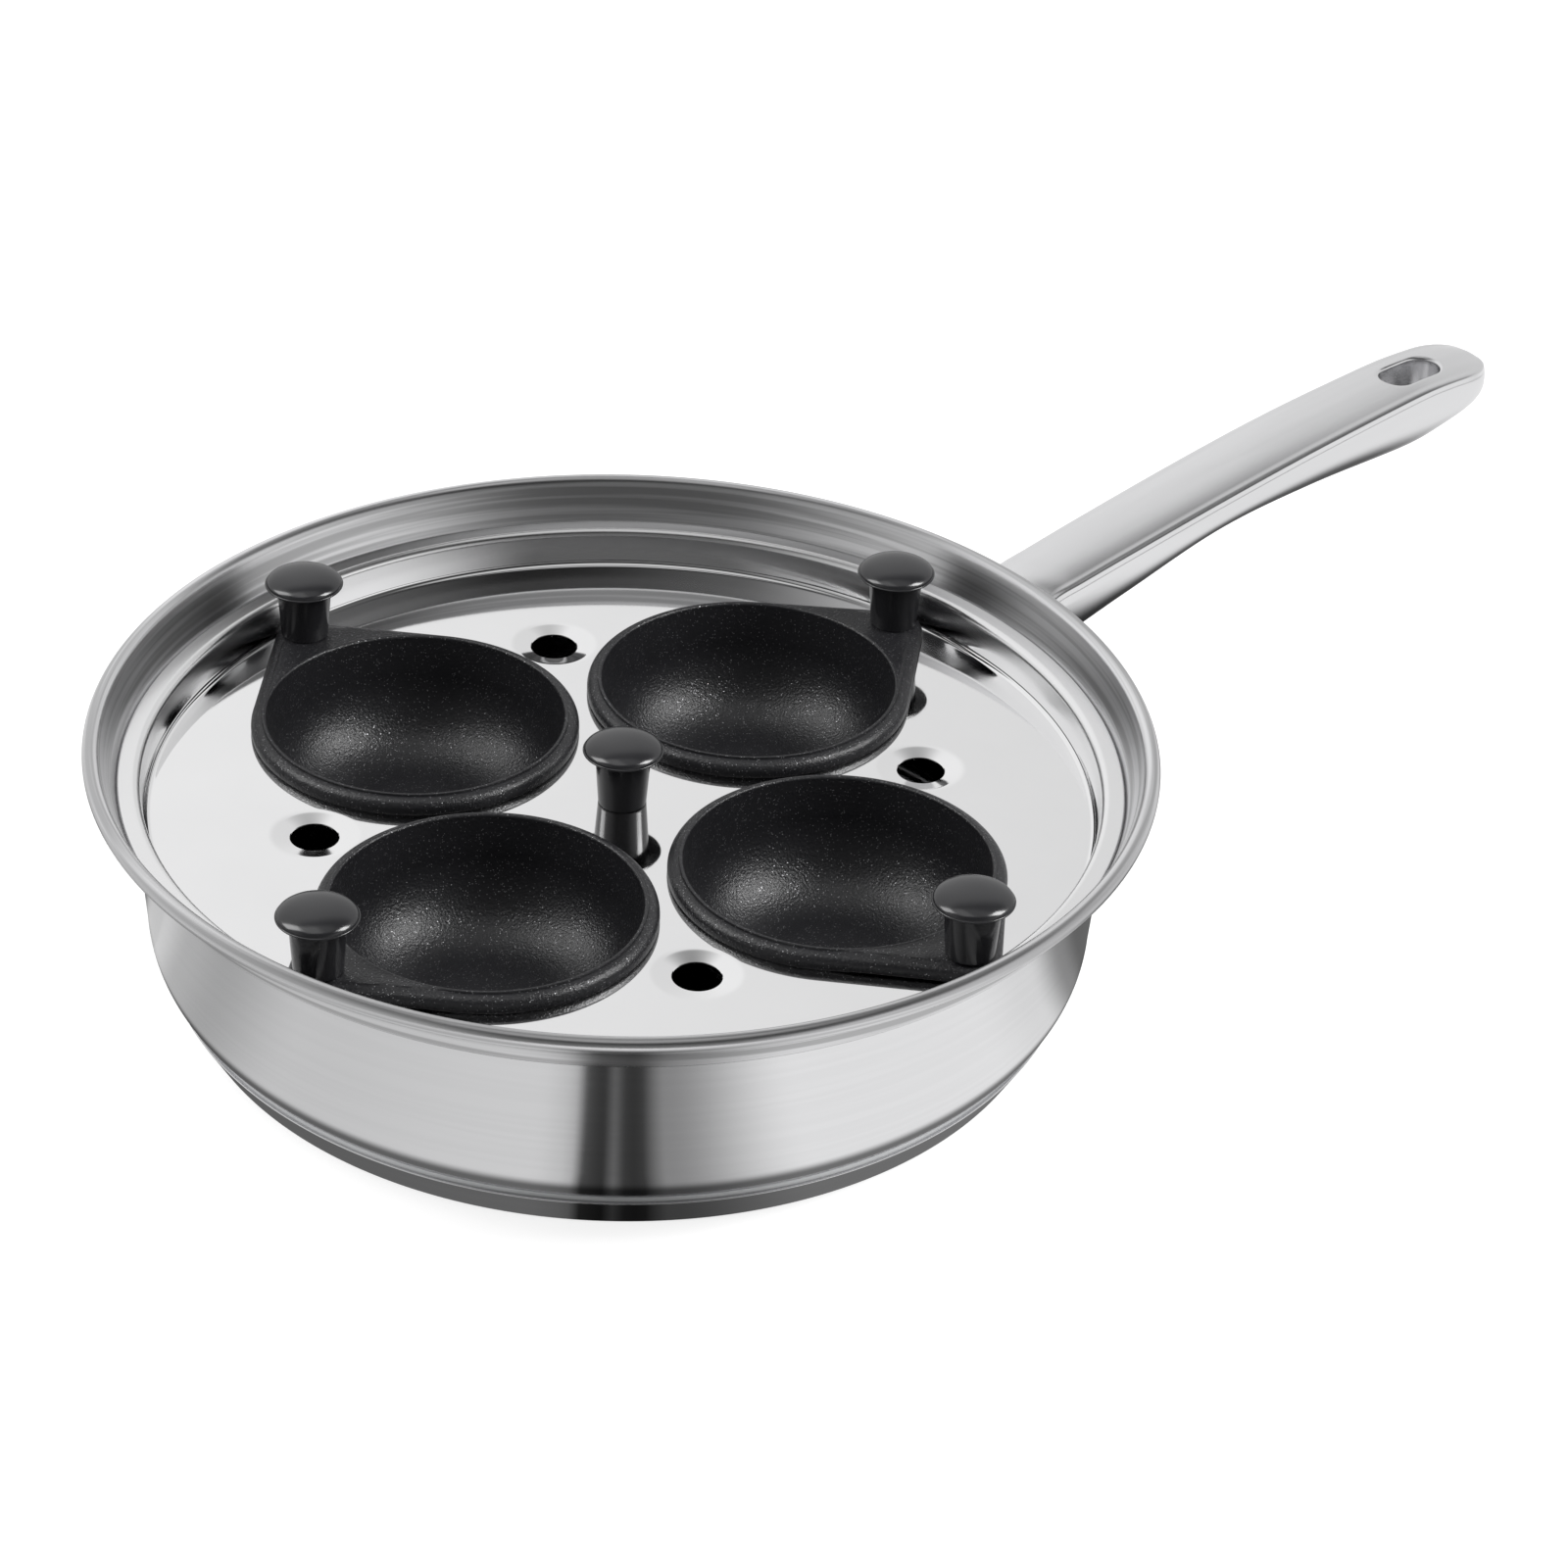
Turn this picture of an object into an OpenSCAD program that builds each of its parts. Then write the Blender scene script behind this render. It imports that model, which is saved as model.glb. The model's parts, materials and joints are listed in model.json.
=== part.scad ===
// Egg poacher pan: a stepped saute pan with an encapsulated base and a hollow handle,
// a lift-out tray and four lift-out egg cups with knobs.
// The origin is on the pan's axis at the underside of the base. The handle points along +X.

/* [Pan] */
// Outer radius of the wall just above the rounded lower corner
wall_r = 101.5; // [85:0.5:125]
// How far the wall leans outwards between the lower corner and the ledge
wall_lean = 2.4; // [0:0.1:4]
// Radius of the rounded lower corner, outside
corner_r = 13.5; // [8:0.5:18]
// Thickness of the pan's steel sheet
pan_t = 0.8; // [0.6:0.1:1.2]
// Height of the ledge that carries the tray, above the table
ledge_z = 49.5; // [40:0.5:70]
// Width of the flat of the ledge
ledge_w = 2.6; // [1.5:0.1:5]
// Height of the flared wall above the ledge
flare_h = 10.1; // [7:0.1:14]
// Lean of the flared wall from upright, in degrees
flare_lean = 22; // [8:1:30]
// Radius of the rolled bead at the rim
bead_r = 1.8; // [1.4:0.1:2.6]

/* [Base] */
// Height of the pan's own floor above the table, outside
floor_z = 5.6; // [4:0.1:9]
// Radius of the flat that stands on the table
foot_r = 92.5; // [78:0.5:98]
// Thickness of the base cap's steel
cap_t = 0.6; // [0.4:0.1:1]
// Height of the base cap's rim above the pan's floor
cap_rise = 3; // [1:0.1:4]

/* [Handle] */
// Length of the handle from the pan's wall to its tip
handle_len = 158.4; // [120:0.1:220]
// Half width of the top face at the wall
half_root = 9.5; // [7:0.1:12]
// Half width of the top face at the middle of the grip
half_grip = 10.1; // [7:0.1:13]
// Half width of the top face near the hanging end
half_end = 9.6; // [7:0.1:13]
// How far each side bulges beyond the top face
side_bulge = 0.7; // [0:0.1:2]
// Height of the handle's edge where it leaves the wall
handle_root_z = 42.5; // [38:0.5:43.5]
// Rise of the short neck that passes under the bead
neck_rise = 12.4; // [10:0.1:12.8]
// Length of the neck
neck_len = 13.3; // [13:0.1:20]
// Rise of the edge from the neck to the highest point of the grip
grip_rise = 13.8; // [0:0.2:30]
// Drop of the edge from the highest point to the tip
tip_drop = 1.1; // [0:0.1:4]
// Crown of the top face over its edges
crown = 1.2; // [0.5:0.1:2]
// Depth of the handle below its edge at the wall
depth_root = 11; // [9:0.1:13]
// Depth at the end of the neck
depth_neck = 16.2; // [12:0.1:18]
// Depth at the waist
depth_waist = 10.4; // [8:0.1:15]
// Depth near the hanging end
depth_end = 16.2; // [9:0.1:18]
// Depth at the tip
depth_tip = 7; // [5:0.1:10]
// Thickness of the handle's steel sheet
handle_t = 1.0; // [0.8:0.1:1.4]
// Length of the hanging hole
hang_len = 17; // [12:0.5:24]
// Width of the hanging hole
hang_w = 8.8; // [6:0.1:11]
// Distance from the tip to the middle of the hanging hole
hang_back = 21.9; // [18:0.1:30]
// Depth of the turned lip round the hanging hole
hang_lip = 2.4; // [1.8:0.1:4]
// Border of the opening under the hanging hole, along the handle
port_along = 4.5; // [2:0.1:6]
// Border of the opening under the hanging hole, across the handle
port_across = 2.6; // [1.5:0.1:2.8]
// Half width of the saddle plate on the wall
saddle_half = 12.5; // [11:0.5:16]
// Height of the saddle plate
saddle_h = 17; // [14:0.5:18]
// Least thickness of the saddle plate
saddle_t = 1.0; // [0.6:0.1:2]

/* [Tray] */
// Depth of the tray's floor below its flange
tray_depth = 8.2; // [6:0.1:14]
// Thickness of the tray's steel sheet
tray_t = 0.7; // [0.5:0.1:1]
// Lean of the tray's wall from upright, in degrees
tray_lean = 7; // [3:0.5:10]
// Fold radius between the tray's wall and flange, on the side that shows
tray_fold = 1.7; // [1.4:0.1:2.2]
// Radius of the circle that the steam holes lie on
steam_ring_r = 66.6; // [60:0.2:72]
// Radius of a steam hole
steam_r = 5.15; // [3:0.05:7]
// Radius of the dimple round a steam hole
dimple_r = 9.9; // [8:0.1:11]
// Depth of the dimple
dimple_depth = 1.3; // [0.6:0.1:3]

/* [Egg cups] */
// Radius of the circle that the cups' centres lie on
cup_ring_r = 53; // [51:0.1:56]
// Direction of the first cup, from the handle, in degrees
cup_phase = 19; // [0:0.5:45]
// Turn of each cup's tab from straight outwards, in degrees
tab_turn = -20.5; // [-30:0.5:-14]
// Radius of the ridge round the bowl's mouth
cup_r = 32.8; // [28:0.1:33.6]
// Width of the sloping rim outside the ridge
rim_w = 2.9; // [2.2:0.1:3.4]
// Height of the ridge above the tray
rim_h = 4; // [3:0.1:6]
// Depth of the bowl below the ridge
cup_depth = 26; // [20:0.5:32]
// Radius of the bowl's rounded lower corner, inside
bowl_corner = 17; // [12:0.5:20]
// Thickness of the cup's wall
cup_t = 1.1; // [0.8:0.1:1.6]
// Distance from the cup's centre to its knob
tab_reach = 42.1; // [41:0.1:42.6]
// Radius of the tab's end
tab_r = 6.7; // [6.2:0.1:6.9]

/* [Knobs] */
// Radius of a knob's cap
knob_r = 8.65; // [7:0.05:11]
// Height of a knob
knob_h = 15.3; // [12:0.1:22]
// Radius of a knob's stem at its foot
stem_r = 5.2; // [4.8:0.1:6]
// Radius of a knob's stem under its cap
neck_r = 6; // [5:0.1:6.6]
// Height of the domed top over the cap's edge
dome_h = 2.3; // [1:0.1:4]
// Radius of the screws
screw_r = 2; // [1.5:0.1:2.4]
// Radius of the screws' heads
head_r = 3.6; // [3:0.1:4]
// Thickness of the screws' heads
head_h = 1.1; // [0.8:0.1:1.3]
// Outer radius of the threaded inserts
insert_r = 3; // [2.6:0.1:3.6]
// Length of the threaded inserts
insert_h = 8; // [6:0.1:9]
// Radius of the washer under the tray
washer_r = 6; // [5:0.1:9]
// Thickness of the washer
washer_t = 0.8; // [0.5:0.1:1.2]

/* [Hidden] */
$fn = 96;

steel = [0.80, 0.80, 0.81];
mirror_steel = [0.87, 0.87, 0.88];
grey_steel = [0.66, 0.67, 0.69];
aluminium = [0.72, 0.73, 0.74];
coating = [0.10, 0.10, 0.11];
phenolic = [0.05, 0.05, 0.06];
brass = [0.78, 0.62, 0.32];

// Clearance of a loose seat between pieces that lift apart
seat_gap = 0.3;
// Running clearance of a screw in its insert
thread_gap = 0.03;
// Radius of the clearance holes for the screws
screw_hole_r = screw_r + 0.15;
// Overlap used where one cut has to pass a face
pass = 1;

// Points of an arc round c, from angle a to angle b, in n steps
function arc(c, r, a, b, n = 8) =
    [for (i = [0:n]) let (t = a + (b - a) * i / n) c + r * [cos(t), sin(t)]];
function reversed(list) = [for (i = [len(list) - 1:-1:0]) list[i]];
// Value at x of the smooth curve through points [x, y], by Catmull and Rom's rule
function clamp(i, n) = max(0, min(n - 1, i));
function span_of(p, x, i = 0) = (i >= len(p) - 2 || x < p[i + 1][0]) ? i : span_of(p, x, i + 1);
function slope_at(p, i) = let (a = p[clamp(i - 1, len(p))], b = p[clamp(i + 1, len(p))])
    (b[1] - a[1]) / (b[0] - a[0]);
function smooth(p, x) = x < p[0][0] ? p[0][1] + (x - p[0][0]) * slope_at(p, 0) :
    let (i = span_of(p, x), a = p[i], b = p[i + 1], w = b[0] - a[0], t = (x - a[0]) / w)
    a[1] * (1 + 2 * t) * (1 - t) * (1 - t) + b[1] * t * t * (3 - 2 * t)
    + w * slope_at(p, i) * t * (1 - t) * (1 - t) - w * slope_at(p, i + 1) * t * t * (1 - t);

// The pan's section. Outer and inner surfaces share centres, so the sheet keeps its thickness
corner_c = [wall_r - corner_r, floor_z + corner_r];
ledge_fold = 1.2;
flare_fold = 0.3;
ledge_c = [wall_r + wall_lean - pan_t + ledge_fold, ledge_z - ledge_fold];
flare_c = [ledge_c[0] + ledge_w, ledge_z + flare_fold];
flare_dir = [sin(flare_lean), cos(flare_lean)];
flare_out = [cos(flare_lean), -sin(flare_lean)];
flare_len = flare_h / cos(flare_lean);
flare_r = flare_c[0] + flare_fold;
// The curl turns round this point, which lies outside the end of the flared wall
bead_c = flare_c + (flare_fold + bead_r) * flare_out + (flare_len - bead_r) * flare_dir;
bead_z = bead_c[1] + bead_r;
rim_r = bead_c[0] + bead_r;
curl_from = 180 - flare_lean;
curl_to = -120;
function wall_at(z) = wall_r + wall_lean * (z - corner_c[1]) / (ledge_c[1] - corner_c[1]);
// One surface of the sheet, from the axis to the end of the curl: d is 0 outside and pan_t inside
function pan_side(d) = concat(
    [[0, floor_z + d]],
    arc(corner_c, corner_r - d, -90, 0, 14),
    arc(ledge_c, ledge_fold - pan_t + d, 180, 90, 6),
    arc(flare_c, flare_fold + pan_t - d, -90, -flare_lean, 6),
    arc(bead_c, bead_r - pan_t + d, curl_from, curl_to, 20));

module pan_body() color(steel)
    rotate_extrude() polygon(concat(pan_side(0), reversed(pan_side(pan_t))));

// The base: an aluminium core held in a steel cap that closes on the pan's lower corner
foot_fold = cap_t + 0.4;
cap_top_z = floor_z + cap_rise;
corner_at_cap = asin((cap_top_z - corner_c[1]) / corner_r);
cap_top_r = corner_c[0] + corner_r * cos(corner_at_cap);
cap_edge = [cap_top_r + 2 * cap_t, cap_top_z - 0.7];
// The cap's side runs from its rounded foot to its edge, and its inner surface lies one sheet inside
foot_c = [foot_r, foot_fold];
side_reach = norm(cap_edge - foot_c);
side_turn = atan2(cap_edge[1] - foot_c[1], cap_edge[0] - foot_c[0]) - acos(foot_fold / side_reach);
side_out = [cos(side_turn), sin(side_turn)];
side_up = [-sin(side_turn), cos(side_turn)];
// The pan's surface from the axis to where the cap closes on it
pan_under = concat([[0, floor_z]], arc(corner_c, corner_r, -90, corner_at_cap, 8));
core_side = concat([cap_edge - cap_t * (side_out + side_up)],
                   arc(foot_c, foot_fold - cap_t, side_turn, -90, 3), [[0, cap_t]]);

module base_core() color(aluminium)
    rotate_extrude() polygon(concat(pan_under, core_side));

module base_cap() color(steel)
    rotate_extrude() polygon(concat(
        [[0, 0]], arc(foot_c, foot_fold, -90, side_turn, 5),
        [cap_edge, [cap_top_r, cap_top_z]], core_side));

// The handle. Distances along it count from the pan's wall
saddle_top = handle_root_z + 4.5;
root_x = wall_at(saddle_top) + saddle_t;
hang_at = handle_len - hang_back;
neck_z = handle_root_z + neck_rise;
grip_len = hang_at + 1.5 - neck_len;
function on_neck(u, v) = [neck_len * u, handle_root_z + neck_rise * v];
function on_grip(u, v) = [neck_len + grip_len * u, neck_z + grip_rise * v];
edge_line = [on_neck(0, 0), on_neck(0.27, 0.33), on_neck(0.586, 0.715), on_neck(0.76, 0.87), on_neck(1, 1),
             on_grip(0.056, 0.08), on_grip(0.176, 0.245), on_grip(0.417, 0.549), on_grip(0.657, 0.8),
             on_grip(0.898, 0.967), on_grip(1, 1), [handle_len, neck_z + grip_rise - tip_drop]];
// Depth between two named depths, at a share of the way
function between(a, b, share) = a + (b - a) * share;
depth_line = [[0, depth_root], [neck_len * 0.4, between(depth_root, depth_neck, 0.5)],
              [neck_len, depth_neck],
              [neck_len + grip_len * 0.18, between(depth_neck, depth_waist, 0.38)],
              [neck_len + grip_len * 0.42, depth_waist],
              [neck_len + grip_len * 0.66, between(depth_waist, depth_end, 0.38)],
              [neck_len + grip_len * 0.9, between(depth_waist, depth_end, 0.96)],
              [neck_len + grip_len * 0.97, depth_end],
              [hang_at + 5, between(depth_end, depth_tip, 0.17)],
              [hang_at + 13, between(depth_end, depth_tip, 0.5)],
              [handle_len, depth_tip]];
half_line = [[0, half_root], [neck_len + grip_len * 0.3, between(half_root, half_grip, 0.8)],
             [neck_len + grip_len * 0.7, half_grip], [hang_at, half_end], [handle_len, half_end]];
tip_round = 13;
tip_power = 2.5;
side_power = 2.5;
function tip_share(s) = let (u = max(0, s - (handle_len - tip_round)) / tip_round)
    pow(max(0, 1 - pow(u, tip_power)), 1 / tip_power);
function edge_z(s) = smooth(edge_line, s);
function half_w(s) = smooth(half_line, s) * tip_share(s);
function bulge_w(s) = half_w(s) + side_bulge * tip_share(s);
bulge_drop = 3.2;
// Half width of the side at a drop below the edge, down to where it is widest
function side_w(s, drop) = between(half_w(s), bulge_w(s), sin(90 * drop / bulge_drop));
function bent(v, p) = sign(v) * pow(abs(v), p);
// The rounded trough under the widest line, from one side to the other
function trough(w, z, d, n) = [for (i = [0:n]) let (t = 180 * i / n)
    [w * bent(cos(t), 2 / side_power), z - d * pow(abs(sin(t)), 2 / side_power)]];
seam_drop = handle_t;
trough_n = 14;
lower_cap = [[for (j = [0:trough_n + 6]) j]];
side_drops = [seam_drop, between(seam_drop, bulge_drop, 0.33), between(seam_drop, bulge_drop, 0.66)];
// One section of the lower shell, smaller by an inset all round and lifted at its open top
function lower_ring(s, inset, lift) =
    let (z = edge_z(s), m = 0.5, d = max(1.5, smooth(depth_line, s) - bulge_drop - inset))
    concat([for (v = side_drops) [max(m, side_w(s, v) - inset), z - v + (v == seam_drop ? lift : 0)]],
           trough(max(m, bulge_w(s) - inset), z - bulge_drop, d, trough_n),
           [for (v = reversed(side_drops))
               [-max(m, side_w(s, v) - inset), z - v + (v == seam_drop ? lift : 0)]]);
// One section of the upper shell: a crowned top, a flat margin under its edge and a hollow
function crowned(w, z, n) = [for (i = [0:n]) let (u = 1 - 2 * i / n)
    [w * u, z + crown * min(1, w / half_root) * (1 - u * u)]];
margin_w = handle_t + 0.2;
crown_n = 10;
function upper_ring(s) = let (w = max(0.5, half_w(s)), z = edge_z(s), g = max(0.5, w - margin_w),
                              k = max(0.5, side_w(s, seam_drop)))
    concat([[k, z - seam_drop]], crowned(w, z, crown_n), [[-k, z - seam_drop]],
           reversed(crowned(g, z - seam_drop, crown_n)));
// The end of the upper shell, in four-sided faces from the top to the underside
upper_cap = concat([[0, 1, 2 * crown_n + 3]],
    [for (i = [0:crown_n - 1]) [1 + i, 2 + i, 2 * crown_n + 2 - i, 2 * crown_n + 3 - i]],
    [[crown_n + 1, crown_n + 2, crown_n + 3]]);

// A closed solid through rings of equal length that stand across the handle, with its end faces
module loft(xs, rings, cap) {
    n = len(xs);
    m = len(rings[0]);
    points = [for (i = [0:n - 1]) for (q = rings[i]) [xs[i], q[0], q[1]]];
    sides = [for (i = [0:n - 2]) for (j = [0:m - 1])
        let (a = i * m + j, b = i * m + (j + 1) % m) each [[a, a + m, b + m], [a, b + m, b]]];
    root_end = [for (face = cap) reversed(face)];
    tip_end = [for (face = cap) [for (j = face) (n - 1) * m + j]];
    polyhedron(points, concat(sides, root_end, tip_end));
}

// Stations along the handle, closer together round the tip, from a distance at the root
plain_end = handle_len - tip_round;
tip_last = 0.985;
function stations(from, short) = concat(
    [for (i = [0:11]) between(from, neck_len + 3, i / 11)],
    [for (i = [1:17]) between(neck_len + 3, plain_end, i / 17)],
    [for (a = [15:15:75]) plain_end + (tip_round * tip_last - short) * sin(a)],
    [plain_end + tip_round * tip_last - short]);

module stadium(length, width) {
    half = (length - width) / 2;
    square([2 * half, width], center = true);
    for (side = [-1, 1]) translate([side * half, 0]) circle(r = width / 2, $fn = 48);
}

hang_x = root_x + hang_at;
hang_top = edge_z(hang_at) + crown;

module handle_top_shell() color(grey_steel) {
    s = stations(0, 0);
    difference() {
        union() {
            loft([for (v = s) root_x + v], [for (v = s) upper_ring(v)], upper_cap);
            translate([hang_x, 0, hang_top - hang_lip])
                linear_extrude(hang_lip - handle_t * 0.6)
                    stadium(hang_len + 2 * handle_t, hang_w + 2 * handle_t);
        }
        translate([hang_x, 0, hang_top - hang_lip - pass])
            linear_extrude(hang_lip + 2 * pass) stadium(hang_len, hang_w);
    }
}

module handle_bottom_shell() color(grey_steel) {
    outer = stations(0, 0);
    inner = stations(-pass, handle_t);
    difference() {
        loft([for (v = outer) root_x + v], [for (v = outer) lower_ring(v, 0, 0)], lower_cap);
        loft([for (v = inner) root_x + v], [for (v = inner) lower_ring(v, handle_t, pass)], lower_cap);
        translate([hang_x, 0, edge_z(hang_at) - depth_end - 2 * pass])
            linear_extrude(depth_end - bulge_drop)
                stadium(hang_len + 2 * port_along, hang_w + 2 * port_across);
    }
}

// The saddle fills the space between the round wall and the flat root
saddle_round = 3;
module handle_saddle() color(grey_steel) difference() {
    translate([root_x, 0, saddle_top - saddle_h / 2]) rotate([0, -90, 0]) linear_extrude(8)
        polygon([for (k = [0:3]) each arc([(k == 0 || k == 3 ? 1 : -1) * (saddle_h / 2 - saddle_round),
                                           (k < 2 ? 1 : -1) * (saddle_half - saddle_round)],
                                          saddle_round, 90 * k, 90 * k + 90, 5)]);
    rotate_extrude($fn = 480) polygon([[0, corner_c[1]], [wall_at(corner_c[1]), corner_c[1]],
                                       [wall_at(ledge_z), ledge_z], [0, ledge_z]]);
}

// The tray. Its flange rests on the pan's ledge
flange_z = ledge_z + tray_t;
tray_z = flange_z - tray_depth;
flange_r = flare_r - seat_gap;
tray_fold_in = tray_fold - tray_t;
tray_fold_c = [ledge_c[0] - ledge_fold - seat_gap + tray_fold_in, flange_z - tray_fold];
floor_fold = 1.2;
wall_top = tray_fold_c + tray_fold * [-cos(tray_lean), sin(tray_lean)];
tray_floor_c = [wall_top[0] - (wall_top[1] - tray_z - floor_fold) * tan(tray_lean)
                - floor_fold / cos(tray_lean), tray_z + floor_fold];
// One surface of the tray's sheet: d is 0 on top and tray_t underneath
function tray_side(d) = concat(
    [[0, tray_z - d]],
    arc(tray_floor_c, floor_fold + d, -90, -tray_lean, 6),
    arc(tray_fold_c, tray_fold - d, 180 - tray_lean, 90, 6),
    [[flange_r, flange_z - d]]);

module at_ring(radius, phase) for (k = [0:3]) rotate([0, 0, phase + 90 * k])
    translate([radius, 0, 0]) children();

steam_phase = cup_phase + 45;
cup_hole_r = cup_r - 0.4 + cup_t + seat_gap;
dimple_half = dimple_depth / 2;
module dimple() translate([0, 0, tray_z]) rotate_extrude()
    polygon([[dimple_r, 0], [dimple_r - 1.2, -dimple_depth * 0.12],
             [steam_r + 1.6, -dimple_depth * 0.9], [steam_r, -dimple_depth],
             [steam_r, -dimple_depth - tray_t], [steam_r + 1.4, -dimple_depth * 0.9 - tray_t],
             [dimple_r - 1.4, -dimple_depth * 0.12 - tray_t], [dimple_r, -tray_t]]);

module poacher_tray() color(mirror_steel) {
    difference() {
        rotate_extrude() polygon(concat(tray_side(0), reversed(tray_side(tray_t))));
        at_ring(cup_ring_r, cup_phase) translate([0, 0, tray_z - tray_t - pass])
            cylinder(r = cup_hole_r, h = tray_t + 2 * pass);
        at_ring(steam_ring_r, steam_phase) translate([0, 0, tray_z - tray_t - pass])
            cylinder(r = dimple_r, h = tray_t + 2 * pass);
        translate([0, 0, tray_z - tray_t - pass]) cylinder(r = screw_hole_r, h = tray_t + 2 * pass);
    }
    at_ring(steam_ring_r, steam_phase) dimple();
}

// The egg cups. Each is drawn about its own centre with its tab along +X, from the tray's top
cup_out_r = cup_r + rim_w;
bowl_in_r = cup_r - 0.4;
bowl_lean = 0.6;
bowl_c = [bowl_in_r - bowl_lean - bowl_corner, rim_h - cup_depth + bowl_corner];
seat_w = rim_w - 1.7;
edge_h = 1.5;
tab_clear = 0.4;
tab_top = rim_h - 0.1;
tab_web = 1.3;
tab_tangent = acos((cup_out_r - tab_r) / tab_reach);

module cup_turned() rotate_extrude() polygon(concat(
    [[0, bowl_c[1] - bowl_corner]],
    arc(bowl_c, bowl_corner, -90, 0, 12),
    [[bowl_in_r, rim_h - 0.5]],
    arc([cup_r, rim_h - 0.4], 0.4, 180, 45, 4),
    arc([cup_out_r - 1.2, edge_h], 1.2, 50, 0, 4),
    [[cup_out_r, 0.3], [cup_out_r - 0.3, 0], [cup_out_r - 0.3 - seat_w, 0],
     [cup_out_r - 0.6 - seat_w, 0.3], [bowl_in_r + cup_t, 0.3]],
    reversed(arc(bowl_c, bowl_corner + cup_t, -90, 0, 12)),
    [[0, bowl_c[1] - bowl_corner - cup_t]]));

module tab_outline(inset) {
    big = cup_out_r - inset;
    small = tab_r - inset;
    c = cos(tab_tangent);
    s = sin(tab_tangent);
    translate([tab_reach, 0]) circle(r = small, $fn = 64);
    polygon([[big * c, big * s], [tab_reach + small * c, small * s],
             [tab_reach + small * c, -small * s], [big * c, -big * s]]);
}

module cup_tab() difference() {
    union() {
        translate([0, 0, tab_clear]) linear_extrude(edge_h + 0.5 - tab_clear) tab_outline(0);
        translate([0, 0, edge_h + 0.5]) linear_extrude(tab_top - edge_h - 0.5) tab_outline(0.7);
    }
    translate([0, 0, -pass]) cylinder(r = cup_r + 0.2, h = rim_h + 2 * pass);
}

// The recess for the screw's head and the hole for its shank
module tab_bore() translate([tab_reach, 0, -pass]) {
    cylinder(r = screw_hole_r, h = rim_h + 2 * pass);
    cylinder(r = head_r + seat_gap, h = tab_top - tab_web + pass);
}

module cup_place(k) rotate([0, 0, cup_phase + 90 * (k - 1)]) translate([cup_ring_r, 0, tray_z])
    rotate([0, 0, tab_turn]) children();
module knob_place(k) cup_place(k) translate([tab_reach, 0, tab_top]) children();

module egg_cup(k) color(coating) cup_place(k) difference() {
    union() {
        cup_turned();
        cup_tab();
    }
    tab_bore();
}

// The knobs, from the face that they stand on
dome_from = knob_h - dome_h;
lip_h = 1;
dome_r = (knob_r * knob_r + dome_h * dome_h) / (2 * dome_h);
dome_half = asin(knob_r / dome_r);
insert_pocket = insert_h + 0.4;
module knob() color(phenolic) rotate_extrude() polygon(concat(
    [[insert_r, 0], [stem_r - 0.3, 0], [stem_r, 0.3]],
    [for (i = [1:6]) let (t = i / 6) [stem_r + (neck_r - stem_r) * t * t, 0.3 + (dome_from - 3.3) * t]],
    [[knob_r - 0.5, dome_from - lip_h], [knob_r, dome_from - lip_h + 0.3]],
    arc([0, knob_h - dome_r], dome_r, 90 - dome_half, 90, 10),
    [[0, insert_pocket], [insert_r, insert_pocket]]));

module insert() color(brass) difference() {
    cylinder(r = insert_r, h = insert_h);
    translate([0, 0, -pass]) cylinder(r = screw_r + thread_gap, h = insert_h + 2 * pass);
}

// A screw whose head's upper face is a grip below the knob's foot
module screw(grip) color(grey_steel) translate([0, 0, -grip]) {
    cylinder(r = screw_r, h = grip + insert_h - 0.6);
    difference() {
        translate([0, 0, -head_h]) cylinder(r = head_r, h = head_h);
        translate([0, 0, -head_h - pass]) linear_extrude(pass + head_h * 0.5)
            for (turn = [0, 90]) rotate(turn) square([head_r * 1.1, head_r * 0.22], center = true);
    }
}

module centre_knob() translate([0, 0, tray_z]) knob();
module centre_knob_insert() translate([0, 0, tray_z]) insert();
module centre_knob_screw() translate([0, 0, tray_z]) screw(tray_t + washer_t);
module centre_knob_washer() color(grey_steel) translate([0, 0, tray_z - tray_t - washer_t])
    difference() {
        cylinder(r = washer_r, h = washer_t);
        translate([0, 0, -pass]) cylinder(r = screw_hole_r, h = washer_t + 2 * pass);
    }
module cup_knob(k) knob_place(k) knob();
module cup_knob_insert(k) knob_place(k) insert();
module cup_knob_screw(k) knob_place(k) screw(tab_web);

pan_body();
base_core();
base_cap();
handle_saddle();
handle_top_shell();
handle_bottom_shell();
poacher_tray();
centre_knob();
centre_knob_insert();
centre_knob_screw();
centre_knob_washer();
for (k = [1:4]) {
    egg_cup(k);
    cup_knob(k);
    cup_knob_insert(k);
    cup_knob_screw(k);
}
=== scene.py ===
"""Egg poacher pan: smooth visual pieces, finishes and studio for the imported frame."""

import json
import math

import bmesh
import bpy
import numpy as np
from bpy.props import FloatProperty, FloatVectorProperty, IntProperty, PointerProperty
from mathutils import Matrix, Vector

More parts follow.
